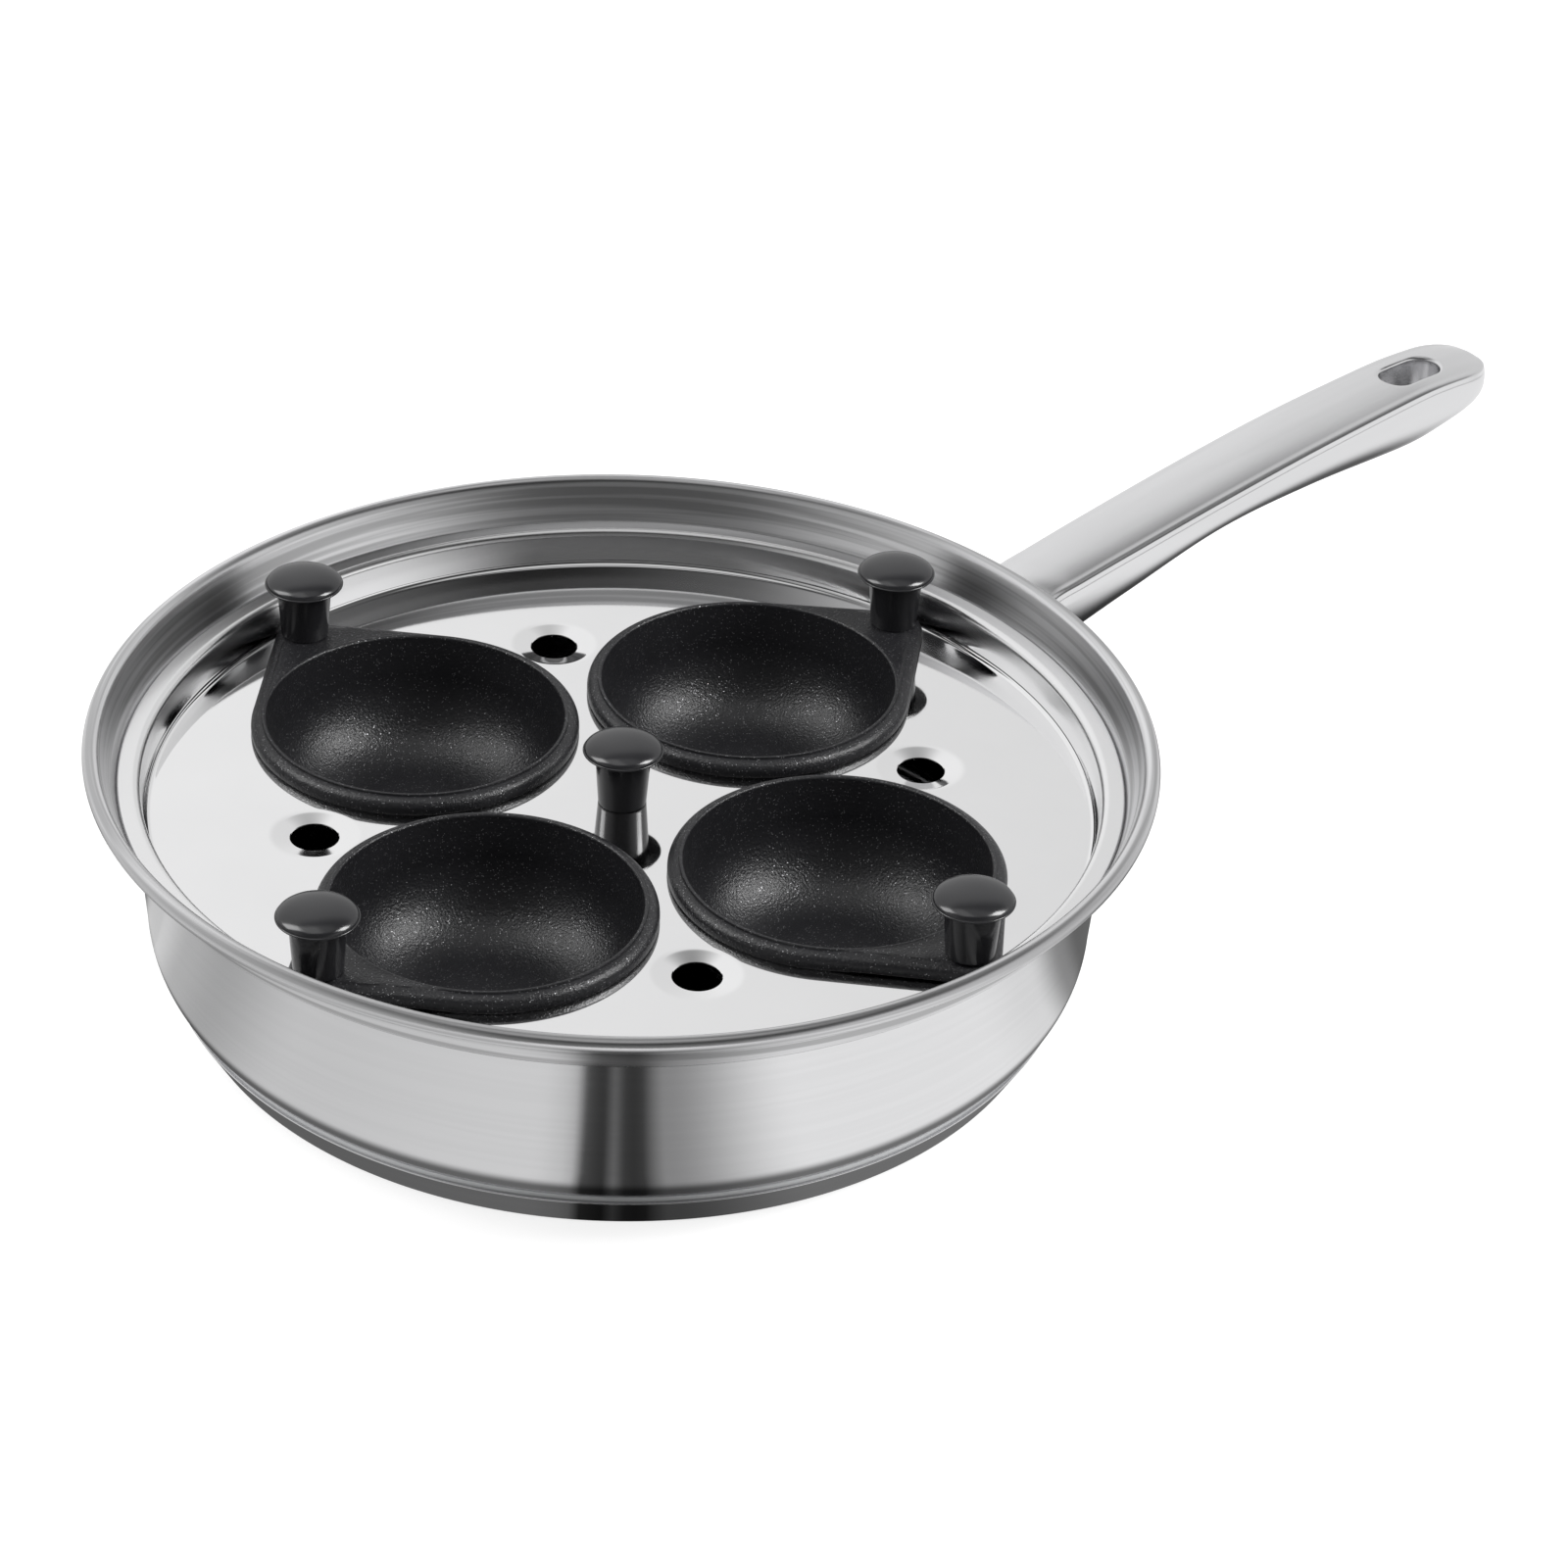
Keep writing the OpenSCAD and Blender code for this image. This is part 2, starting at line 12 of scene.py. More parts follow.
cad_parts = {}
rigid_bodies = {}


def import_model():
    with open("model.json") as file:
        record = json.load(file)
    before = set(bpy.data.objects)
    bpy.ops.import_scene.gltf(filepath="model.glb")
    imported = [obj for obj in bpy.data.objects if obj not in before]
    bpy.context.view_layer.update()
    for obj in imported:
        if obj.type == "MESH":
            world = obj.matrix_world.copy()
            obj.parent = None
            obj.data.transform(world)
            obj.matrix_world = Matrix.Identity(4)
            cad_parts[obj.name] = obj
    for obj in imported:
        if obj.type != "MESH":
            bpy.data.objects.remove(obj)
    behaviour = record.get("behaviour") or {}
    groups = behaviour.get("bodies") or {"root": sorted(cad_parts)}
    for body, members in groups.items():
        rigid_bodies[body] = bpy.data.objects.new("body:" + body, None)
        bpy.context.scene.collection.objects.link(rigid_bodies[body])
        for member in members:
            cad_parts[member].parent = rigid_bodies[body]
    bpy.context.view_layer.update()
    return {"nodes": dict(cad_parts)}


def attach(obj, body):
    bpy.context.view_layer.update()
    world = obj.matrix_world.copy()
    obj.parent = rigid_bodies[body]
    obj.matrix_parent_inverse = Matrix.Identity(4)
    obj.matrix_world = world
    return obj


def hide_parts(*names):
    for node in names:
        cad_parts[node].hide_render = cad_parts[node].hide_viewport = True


bl_info = {
    "name": "Egg Poacher Pan",
    "version": (1, 0, 0),
    "blender": (4, 5, 0),
    "location": "3D View > Sidebar > Poacher",
    "description": "Builds the pieces, finishes and studio of an egg poacher pan",
    "category": "Object",
}

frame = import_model()

MM = 0.001
MICRON = 0.000001
WHITE = (1.0, 1.0, 1.0, 1.0)
PAN_SIDES = 288  # sides of the turned pan, base cap and tray wall
KNOB_SIDES = 144  # sides of a turned knob and of a cup opening
ON_AXIS = 1e-6  # a radius below this is a pole
FLARE_FOOT = (0.0475, 0.0505)  # heights where the polished wall gives way to the worn flare
SCREW_HOLE_R = 2.15  # radius of the screws' holes in the tray and the cups
HEAD_R = 3.9  # radius of the recess for a cup screw's head
TRAY_WALL = (0.0436, 0.0470)  # heights where the tray's floor gives way to its wall


def length(name, description, mm):
    """A size in the scene's units, with its default given in millimetres."""
    return FloatProperty(name=name, description=description, default=mm * MM, unit="LENGTH",
                         subtype="DISTANCE", precision=5)


def turn(name, description, degrees):
    """An angle, with its default given in degrees."""
    return FloatProperty(name=name, description=description, default=math.radians(degrees),
                         unit="ROTATION", subtype="ANGLE")


def colour(name, description, rgb):
    """A colour without alpha."""
    return FloatVectorProperty(name=name, description=description, default=rgb, subtype="COLOR",
                               size=3, min=0.0, max=1.0)


def share(name, description, value, high=1.0):
    """A plain number from nought upwards."""
    return FloatProperty(name=name, description=description, default=value, min=0.0, max=high)


class PanSizes(bpy.types.PropertyGroup):
    """Sizes of the pan's body and base."""

    wall_r: length("Wall radius", "Outer radius just above the rounded lower corner", 101.5)
    wall_lean: length("Wall lean", "How far the wall leans out up to the ledge", 2.4)
    corner_r: length("Corner radius", "Outer radius of the rounded lower corner", 13.5)
    sheet: length("Sheet", "Thickness of the pan's steel", 0.8)
    ledge_z: length("Ledge height", "Height of the ledge that carries the tray", 49.5)
    ledge_w: length("Ledge width", "Width of the flat of the ledge", 2.6)
    flare_h: length("Flare height", "Height of the flared wall above the ledge", 10.1)
    flare_lean: turn("Flare lean", "Lean of the flared wall from upright", 22)
    bead_r: length("Bead radius", "Radius of the rolled bead at the rim", 1.8)
    floor_z: length("Floor height", "Height of the pan's floor outside", 5.6)
    foot_r: length("Foot radius", "Radius of the flat that stands on the table", 92.5)
    cap_sheet: length("Cap sheet", "Thickness of the base cap's steel", 0.6)
    cap_rise: length("Cap rise", "Height of the cap's rim above the pan's floor", 3.0)


class HandleSizes(bpy.types.PropertyGroup):
    """Sizes of the hollow handle."""

    span: length("Length", "Length from the pan's wall to the tip", 158.4)
    half_root: length("Half width at the wall", "Half width of the top face at the wall", 9.5)
    half_grip: length("Half width of the grip", "Half width of the top face at the grip", 10.1)
    half_end: length("Half width at the end", "Half width of the top face near the hole", 9.6)
    side_bulge: length("Side bulge", "How far each side bulges beyond the top face", 0.7)
    root_z: length("Root height", "Height of the handle's edge at the wall", 42.5)
    neck_rise: length("Neck rise", "Rise of the neck that passes under the bead", 12.4)
    neck_len: length("Neck length", "Length of the neck", 13.3)
    grip_rise: length("Grip rise", "Rise from the neck to the highest point", 13.8)
    tip_drop: length("Tip drop", "Drop from the highest point to the tip", 1.1)
    crown: length("Crown", "Crown of the top face over its edges", 1.2)
    depth_root: length("Depth at the wall", "Depth below the edge at the wall", 11.0)
    depth_neck: length("Depth at the neck", "Depth at the end of the neck", 16.2)
    depth_waist: length("Depth at the waist", "Depth at the slimmest place", 10.4)
    depth_end: length("Depth near the end", "Depth near the hanging hole", 16.2)
    depth_tip: length("Depth at the tip", "Depth at the tip", 7.0)
    sheet: length("Sheet", "Thickness of the handle's steel", 1.0)
    hole_len: length("Hole length", "Length of the hanging hole", 17.0)
    hole_w: length("Hole width", "Width of the hanging hole", 8.8)
    hole_back: length("Hole place", "Distance from the tip to the middle of the hole", 21.9)
    saddle_half: length("Saddle half width", "Half width of the plate on the wall", 12.5)
    saddle_h: length("Saddle height", "Height of the plate on the wall", 17.0)


class TraySizes(bpy.types.PropertyGroup):
    """Sizes of the lift-out tray."""

    depth: length("Depth", "Depth of the floor below the flange", 8.2)
    sheet: length("Sheet", "Thickness of the tray's steel", 0.7)
    lean: turn("Wall lean", "Lean of the tray's wall from upright", 7)
    fold: length("Fold radius", "Fold between the wall and the flange", 1.7)
    steam_ring: length("Steam ring", "Radius of the circle of steam holes", 66.6)
    steam_r: length("Steam hole radius", "Radius of a steam hole", 5.15)
    dimple_r: length("Dimple radius", "Radius of the dimple round a steam hole", 9.9)
    dimple_depth: length("Dimple depth", "Depth of the dimple", 0.75)
    count: IntProperty(name="Places", description="How many cups and steam holes", default=4, min=1)


class CupSizes(bpy.types.PropertyGroup):
    """Sizes of the egg cups."""

    ring: length("Ring radius", "Radius of the circle of the cups' centres", 53.0)
    phase: turn("First cup", "Direction of the first cup from the handle", 19)
    tab_turn: turn("Tab turn", "Turn of the tab from straight outwards", -20.5)
    mouth_r: length("Mouth radius", "Radius of the ridge round the mouth", 32.8)
    rim_w: length("Rim width", "Width of the sloping rim", 2.9)
    rim_h: length("Rim height", "Height of the ridge above the tray", 4.0)
    depth: length("Depth", "Depth of the bowl below the ridge", 26.0)
    corner: length("Corner radius", "Radius of the bowl's lower corner inside", 17.0)
    wall: length("Wall", "Thickness of the cup's wall", 1.1)
    tab_reach: length("Tab reach", "Distance from the cup's centre to its knob", 42.1)
    tab_r: length("Tab radius", "Radius of the tab's end", 6.7)


class KnobSizes(bpy.types.PropertyGroup):
    """Sizes of the knobs."""

    cap_r: length("Cap radius", "Radius of a knob's cap", 8.65)
    height: length("Height", "Height of a knob", 15.3)
    foot_r: length("Foot radius", "Radius of the stem at its foot", 5.2)
    neck_r: length("Neck radius", "Radius of the stem under the cap", 6.05)
    dome: length("Dome", "Height of the domed top over the cap's edge", 2.3)
    insert_r: length("Insert radius", "Radius of the threaded insert", 3.0)
    insert_h: length("Insert length", "Length of the threaded insert", 8.0)


class Finishes(bpy.types.PropertyGroup):
    """Colours and sheens that a user would change."""

    steel: colour("Steel", "Colour of the pan's steel", (0.80, 0.80, 0.81))
    handle_steel: colour("Handle steel", "Colour of the handle's steel", (0.76, 0.76, 0.77))
    tray_steel: colour("Tray steel", "Colour of the tray's steel", (0.88, 0.88, 0.885))
    coating: colour("Coating", "Colour of the cups' coating", (0.008, 0.008, 0.009))
    flake: colour("Flakes", "Colour of the flakes in the coating", (0.30, 0.30, 0.31))
    knob: colour("Knobs", "Colour of the knobs", (0.009, 0.009, 0.010))
    polish: share("Polish", "Roughness of the polished steel", 0.11)


class Studio(bpy.types.PropertyGroup):
    """Light and floor of the studio."""

    key: share("Key light", "Brightness of the panel on the right", 18.0, 80)
    fill: share("Fill light", "Brightness of the panel on the left", 7.0, 80)
    top: share("Top light", "Brightness of the panel above", 1.0, 50)
    ambient: share("Ambient", "Brightness of the light from all round", 0.62, 5)
    floor: colour("Floor", "Colour of the floor", (0.80, 0.80, 0.80))


# Outlines and meshes, in millimetres until a mesh is made


def mm(value):
    """A property's metres in millimetres."""
    return value / MM


def arc(centre, radius, start, end, steps):
    """Points of an arc, with its angles in degrees."""
    angles = np.radians(np.linspace(start, end, steps + 1))
    return [(centre[0] + radius * math.cos(a), centre[1] + radius * math.sin(a)) for a in angles]


def supported(points):
    """Adds a point near each end of a long straight run, so that its shading stays even."""
    gap = 0.25
    out = [points[0]]
    for a, b in zip(points, points[1:]):
        run = math.dist(a, b)
        if run > 6 * gap:
            for at in (gap / run, 1 - gap / run):
                out.append((a[0] + (b[0] - a[0]) * at, a[1] + (b[1] - a[1]) * at))
        out.append(b)
    return out


class Builder:
    """Collects the vertices and faces of one mesh."""

    def __init__(self):
        self.points = []
        self.faces = []

    def ring(self, points):
        """Adds points and returns their numbers."""
        first = len(self.points)
        self.points.extend(points)
        return list(range(first, len(self.points)))

    def join(self, a, b, closed=True):
        """Joins two rings with four-sided faces; a ring of one is a pole."""
        steps = max(len(a), len(b))
        for k in range(steps if closed else steps - 1):
            m = (k + 1) % steps
            if len(a) == 1:
                self.faces.append((a[0], b[k], b[m]))
            elif len(b) == 1:
                self.faces.append((a[k], b[0], a[m]))
            else:
                self.faces.append((a[k], b[k], b[m], a[m]))

    def join_all(self, rings):
        """Joins each ring with the next, but no pole with a pole."""
        for a, b in zip(rings, rings[1:]):
            if len(a) + len(b) > 2:
                self.join(a, b)

    def rings(self, outline, angles):
        """Adds a ring for each radius and height of an outline, or a pole on the axis."""
        return [self.ring([(0, 0, z)] if r < ON_AXIS else
                          [(r * math.cos(a), r * math.sin(a), z) for a in angles])
                for r, z in outline]

    def turned(self, outline, sides):
        """Turns an outline of radius and height round the axis."""
        self.join_all(self.rings(outline, [2 * math.pi * k / sides for k in range(sides)]))

    def mesh(self, name):
        """The mesh in metres."""
        mesh = bpy.data.meshes.new(name)
        mesh.from_pydata([(x * MM, y * MM, z * MM) for x, y, z in self.points], [], self.faces)
        return mesh


def finished(mesh, sharp=32.0):
    """Welds a closed mesh, turns its faces outwards and shades it smooth up to a sharp angle."""
    bm = bmesh.new()
    bm.from_mesh(mesh)
    bmesh.ops.remove_doubles(bm, verts=bm.verts, dist=2 * MICRON)
    bmesh.ops.dissolve_degenerate(bm, edges=bm.edges, dist=0.1 * MICRON)
    bmesh.ops.recalc_face_normals(bm, faces=bm.faces)
    if bm.calc_volume(signed=True) < 0:
        bmesh.ops.reverse_faces(bm, faces=bm.faces)
    loose = sum(1 for e in bm.edges if not e.is_manifold)
    bm.to_mesh(mesh)
    bm.free()
    if loose:
        print("open edges in", mesh.name, loose)
    mesh.shade_smooth()
    mesh.set_sharp_from_angle(angle=math.radians(sharp))
    return mesh


def placed(name, data):
    """A new object in the scene."""
    obj = bpy.data.objects.new(name, data)
    bpy.context.scene.collection.objects.link(obj)
    return obj


def baked(obj, modifier):
    """The plain mesh that an object's one modifier makes. The object goes."""
    bpy.context.view_layer.update()
    evaluated = obj.evaluated_get(bpy.context.evaluated_depsgraph_get())
    mesh = bpy.data.meshes.new_from_object(evaluated)
    obj.modifiers.remove(modifier)
    bpy.data.objects.remove(obj)
    return mesh


def piece(name, mesh, material, body, slot, *nodes):
    """Puts a finished mesh in the scene as a piece that rides on a body and stands for nodes."""
    mesh.materials.clear()
    mesh.materials.append(material)
    obj = placed(name, mesh)
    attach(obj, body)
    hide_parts(*nodes)
    return obj


# Geometry Nodes: copies of one drawing round a ring


def copies_tree():
    """The tree that sets copies of a drawing round a ring, all of them or only one."""
    name = "Copies Round A Ring"
    if name in bpy.data.node_groups:
        return bpy.data.node_groups[name]
    tree = bpy.data.node_groups.new(name, "GeometryNodeTree")
    tree.is_modifier = True
    face = tree.interface
    face.new_socket("Drawing", in_out="INPUT", socket_type="NodeSocketGeometry")
    for label, kind in (("Count", "Int"), ("Ring Radius", "Float"), ("Phase", "Float"),
                        ("Turn", "Float"), ("Height", "Float"), ("Only", "Int"),
                        ("Material", "Material")):
        face.new_socket(label, in_out="INPUT", socket_type="NodeSocket" + kind)
    face.new_socket("Copies", in_out="OUTPUT", socket_type="NodeSocketGeometry")
    given = tree.nodes.new("NodeGroupInput").outputs
    places = node(tree, "GeometryNodeMeshCircle", {"Vertices": given["Count"],
                                                   "Radius": given["Ring Radius"]})
    index = tree.nodes.new("GeometryNodeInputIndex").outputs[0]
    step = calc(tree, "DIVIDE", 2 * math.pi, given["Count"])
    spin = calc(tree, "MULTIPLY_ADD", index, step, given["Turn"])
    euler = node(tree, "ShaderNodeCombineXYZ", {"Z": spin})
    rotation = node(tree, "FunctionNodeEulerToRotation", {0: euler.outputs[0]})
    every = node(tree, "FunctionNodeCompare", {2: given["Only"], 3: 0}, data_type="INT",
                 operation="LESS_THAN")
    this = node(tree, "FunctionNodeCompare", {2: given["Only"], 3: index}, data_type="INT",
                operation="EQUAL")
    chosen = node(tree, "FunctionNodeBooleanMath", {0: every.outputs[0], 1: this.outputs[0]},
                  operation="OR")
    copies = node(tree, "GeometryNodeInstanceOnPoints",
                  {"Points": places.outputs[0], "Selection": chosen.outputs[0],
                   "Instance": given["Drawing"], "Rotation": rotation.outputs[0]})
    lift = node(tree, "ShaderNodeCombineXYZ", {"Z": given["Height"]})
    phase = node(tree, "ShaderNodeCombineXYZ", {"Z": given["Phase"]})
    whole = node(tree, "FunctionNodeEulerToRotation", {0: phase.outputs[0]})
    moved = node(tree, "GeometryNodeTransform",
                 {"Geometry": copies.outputs[0], "Translation": lift.outputs[0],
                  "Rotation": whole.outputs[0]})
    real = node(tree, "GeometryNodeRealizeInstances", {0: moved.outputs[0]})
    painted = node(tree, "GeometryNodeSetMaterial", {"Geometry": real.outputs[0],
                                                     "Material": given["Material"]})
    node(tree, "NodeGroupOutput", {0: painted.outputs[0]})
    return tree


def copied(drawing, name, material, count, ring, phase, height, turned=0.0, only=-1):
    """A plain mesh of copies of a drawing round a ring: all of them, or only one of them."""
    tree = copies_tree()
    obj = placed(name, drawing.copy())
    modifier = obj.modifiers.new("Copies", "NODES")
    modifier.node_group = tree
    values = {"Count": count, "Ring Radius": ring, "Phase": phase, "Turn": turned,
              "Height": height, "Only": only, "Material": material}
    for item in tree.interface.items_tree:
        if item.name in values and item.in_out == "INPUT":
            modifier[item.identifier] = values[item.name]
    mesh = baked(obj, modifier)
    if not mesh.polygons:
        raise RuntimeError(name + ": the ring of copies is empty")
    mesh.name = name
    return mesh


# Nodes and finishes


def plug(made, values):
    """Sets a node's inputs by value or by link."""
    for key, value in values.items():
        if isinstance(value, bpy.types.NodeSocket):
            made.id_data.links.new(value, made.inputs[key])
        else:
            made.inputs[key].default_value = value


def node(tree, kind, values=None, **attributes):
    """Adds a node, and sets its attributes and then its inputs."""
    made = tree.nodes.new(kind)
    for key, value in attributes.items():
        setattr(made, key, value)
    plug(made, values or {})
    return made


def calc(tree, operation, a, b=0.0, c=0.0):
    """One Math node's result."""
    return node(tree, "ShaderNodeMath", {0: a, 1: b, 2: c}, operation=operation).outputs[0]


def vector_calc(tree, operation, values):
    """One Vector Math node's result."""
    return node(tree, "ShaderNodeVectorMath", values, operation=operation).outputs[0]


def length_of(tree, a, b):
    """The length of a flat vector with the parts a and b."""
    return calc(tree, "SQRT", calc(tree, "MULTIPLY_ADD", a, a, calc(tree, "MULTIPLY", b, b)))


def parts(tree, vector):
    """The X, Y and Z of a vector."""
    return node(tree, "ShaderNodeSeparateXYZ", {0: vector}).outputs


def ramp(tree, value, low, high, to_low=0.0, to_high=1.0):
    """A value taken smoothly from one range to another."""
    return node(tree, "ShaderNodeMapRange", {0: value, 1: low, 2: high, 3: to_low, 4: to_high},
                interpolation_type="SMOOTHSTEP").outputs[0]


def mixed(tree, amount, a, b):
    """Mixes two colours by an amount."""
    return node(tree, "ShaderNodeMix", {0: amount, 6: a, 7: b}, data_type="RGBA").outputs[2]


def shaded(tree, amount, rgb, at_none, at_full=1.0):
    """A colour whose brightness goes from one share of itself to another with an amount."""
    a, b = ([part * c for c in rgb] + [1.0] for part in (at_none, at_full))
    return mixed(tree, amount, a, b)


def noise(tree, vector, scale, detail=2.0, w=None):
    """A noise value from 0 to 1, in three dimensions, or in four with w."""
    values = {"Vector": vector, "Scale": scale, "Detail": detail}
    if w is None:
        return node(tree, "ShaderNodeTexNoise", values).outputs[0]
    values["W"] = w
    return node(tree, "ShaderNodeTexNoise", values, noise_dimensions="4D").outputs[0]


def round_lines(tree, place, per_metre, along, detail):
    """Noise drawn out round the Z axis, as turning and round brushing leave it."""
    x, y, z = parts(tree, place)
    angle = calc(tree, "ARCTAN2", y, x)
    across = calc(tree, "MULTIPLY", length_of(tree, x, y), per_metre)
    up = calc(tree, "MULTIPLY", z, per_metre)
    turn_x = calc(tree, "MULTIPLY", calc(tree, "COSINE", angle), along)
    turn_y = calc(tree, "MULTIPLY", calc(tree, "SINE", angle), along)
    vector = node(tree, "ShaderNodeCombineXYZ", {0: across, 1: up, 2: turn_x}).outputs[0]
    return noise(tree, vector, 1.0, detail, turn_y)


def bumped(tree, height, microns, normal=None):
    """A Bump node's normal for a height of that many thousandths of a millimetre."""
    values = {"Height": height, "Distance": microns * MICRON}
    if normal is not None:
        values["Normal"] = normal
    return node(tree, "ShaderNodeBump", values).outputs[0]


def blank(name):
    """A new material with its tree, shader and Object coordinates."""
    material = bpy.data.materials.new(name)
    material.use_nodes = True
    tree = material.node_tree
    tree.nodes.clear()
    shader = node(tree, "ShaderNodeBsdfPrincipled")
    node(tree, "ShaderNodeOutputMaterial", {0: shader.outputs[0]})
    place = node(tree, "ShaderNodeTexCoord").outputs["Object"]
    return material, tree, shader, place


def polished_steel(name, rgb, polish, lines=1.0, bands=1.0):
    """Polished sheet steel with slow ripples, and brushed round the axis on the flare."""
    material, tree, shader, place = blank(name)
    fine = round_lines(tree, place, 3600, 2.2, 3.0)
    broad = round_lines(tree, place, 620, 1.1, 2.0)
    worn = ramp(tree, parts(tree, place)[2], *FLARE_FOOT, 0.05, 1.0)
    streak = calc(tree, "MULTIPLY", ramp(tree, broad, 0.62, 0.38), worn)
    grain = calc(tree, "MULTIPLY_ADD", fine, 0.07, polish - 0.035)
    ripple = bumped(tree, noise(tree, place, 26.0), 50)
    band = bumped(tree, calc(tree, "MULTIPLY", broad, worn), 26 * bands, ripple)
    plug(shader, {"Metallic": 1.0,
                  "Base Color": shaded(tree, streak, rgb, 1.0, 0.58),
                  "Roughness": calc(tree, "MULTIPLY_ADD", worn, 0.19, grain),
                  "Normal": bumped(tree, fine, 1.3 * lines, band)})
    return material


def satin_steel(name, rgb):
    """Satin steel brushed along the handle."""
    material, tree, shader, place = blank(name)
    drawn = node(tree, "ShaderNodeMapping", {"Vector": place, "Scale": (30, 2600, 2600)})
    slow = node(tree, "ShaderNodeMapping", {"Vector": place, "Scale": (9, 220, 160)})
    fine = noise(tree, drawn.outputs[0], 1.0, 3.0)
    broad = noise(tree, slow.outputs[0], 1.0, 1.0)
    ripple = bumped(tree, noise(tree, place, 38.0), 30)
    plug(shader, {"Metallic": 1.0,
                  "Anisotropic": 0.3,
                  "Base Color": shaded(tree, ramp(tree, broad, 0.3, 0.7), rgb, 0.97),
                  "Roughness": calc(tree, "MULTIPLY_ADD", fine, 0.08, 0.20),
                  "Normal": bumped(tree, fine, 0.6, ripple)})
    return material


def mirror_steel(name, rgb):
    """Mirror polished sheet with a slight waviness and hairline wiping marks."""
    material, tree, shader, place = blank(name)
    fine = round_lines(tree, place, 2600, 3.0, 2.0)
    haze = noise(tree, place, 60.0, 3.0)
    wall = ramp(tree, parts(tree, place)[2], *TRAY_WALL, 0.035, 0.23)
    wave = bumped(tree, noise(tree, place, 17.0, 1.0), 50)
    plug(shader, {"Metallic": 1.0,
                  "Base Color": shaded(tree, haze, rgb, 0.96),
                  "Roughness": calc(tree, "MULTIPLY_ADD", haze, 0.03, wall),
                  "Normal": bumped(tree, fine, 0.3, wave)})
    return material


def speckled_coating(name, rgb, flake_rgb):
    """Black non-stick coating with a slight grain and fine flakes that lean all ways."""
    material, tree, shader, place = blank(name)
    cells = node(tree, "ShaderNodeTexVoronoi", {"Vector": place, "Scale": 4300.0},
                 feature="F1").outputs
    pick = node(tree, "ShaderNodeSeparateColor", {0: cells["Color"]}).outputs[0]
    middle = ramp(tree, cells["Distance"], 0.30, 0.55, 1.0, 0.0)
    flake = calc(tree, "MULTIPLY", ramp(tree, pick, 0.940, 0.975), middle)
    grain = noise(tree, place, 1900.0, 3.0)
    ground = shaded(tree, noise(tree, place, 90.0), rgb, 1.0, 1.5)
    away = vector_calc(tree, "SUBTRACT", {0: cells["Color"], 1: (0.5, 0.5, 0.5)})
    tilt = calc(tree, "MULTIPLY", flake, 0.25)
    leaning = vector_calc(tree, "SCALE", {0: away, "Scale": tilt})
    normal = vector_calc(tree, "ADD", {0: bumped(tree, grain, 160), 1: leaning})
    plug(shader, {"IOR": 1.38,
                  "Base Color": mixed(tree, flake, ground, [*flake_rgb, 1.0]),
                  "Metallic": calc(tree, "MULTIPLY", flake, 0.85),
                  "Roughness": calc(tree, "MULTIPLY_ADD", grain, 0.20, 0.23),
                  "Normal": vector_calc(tree, "NORMALIZE", {0: normal})})
    return material


def moulded_knob(name, rgb):
    """Black moulded phenolic with a satin skin."""
    material, tree, shader, place = blank(name)
    cloud = noise(tree, place, 120.0)
    swell = bumped(tree, cloud, 20)
    plug(shader, {"IOR": 1.5,
                  "Base Color": shaded(tree, cloud, rgb, 1.0, 1.6),
                  "Roughness": calc(tree, "MULTIPLY_ADD", cloud, 0.10, 0.14),
                  "Normal": bumped(tree, noise(tree, place, 900.0), 3, swell)})
    return material


def turned_metal(name, rgb, roughness):
    """Plain turned metal for screws, inserts, washers and the base's core."""
    material, tree, shader, place = blank(name)
    grain = noise(tree, place, 1800.0)
    plug(shader, {"Metallic": 1.0,
                  "Base Color": shaded(tree, noise(tree, place, 150.0), rgb, 0.85),
                  "Roughness": calc(tree, "MULTIPLY_ADD", grain, 0.12, roughness),
                  "Normal": bumped(tree, grain, 4)})
    return material


# The handle's form


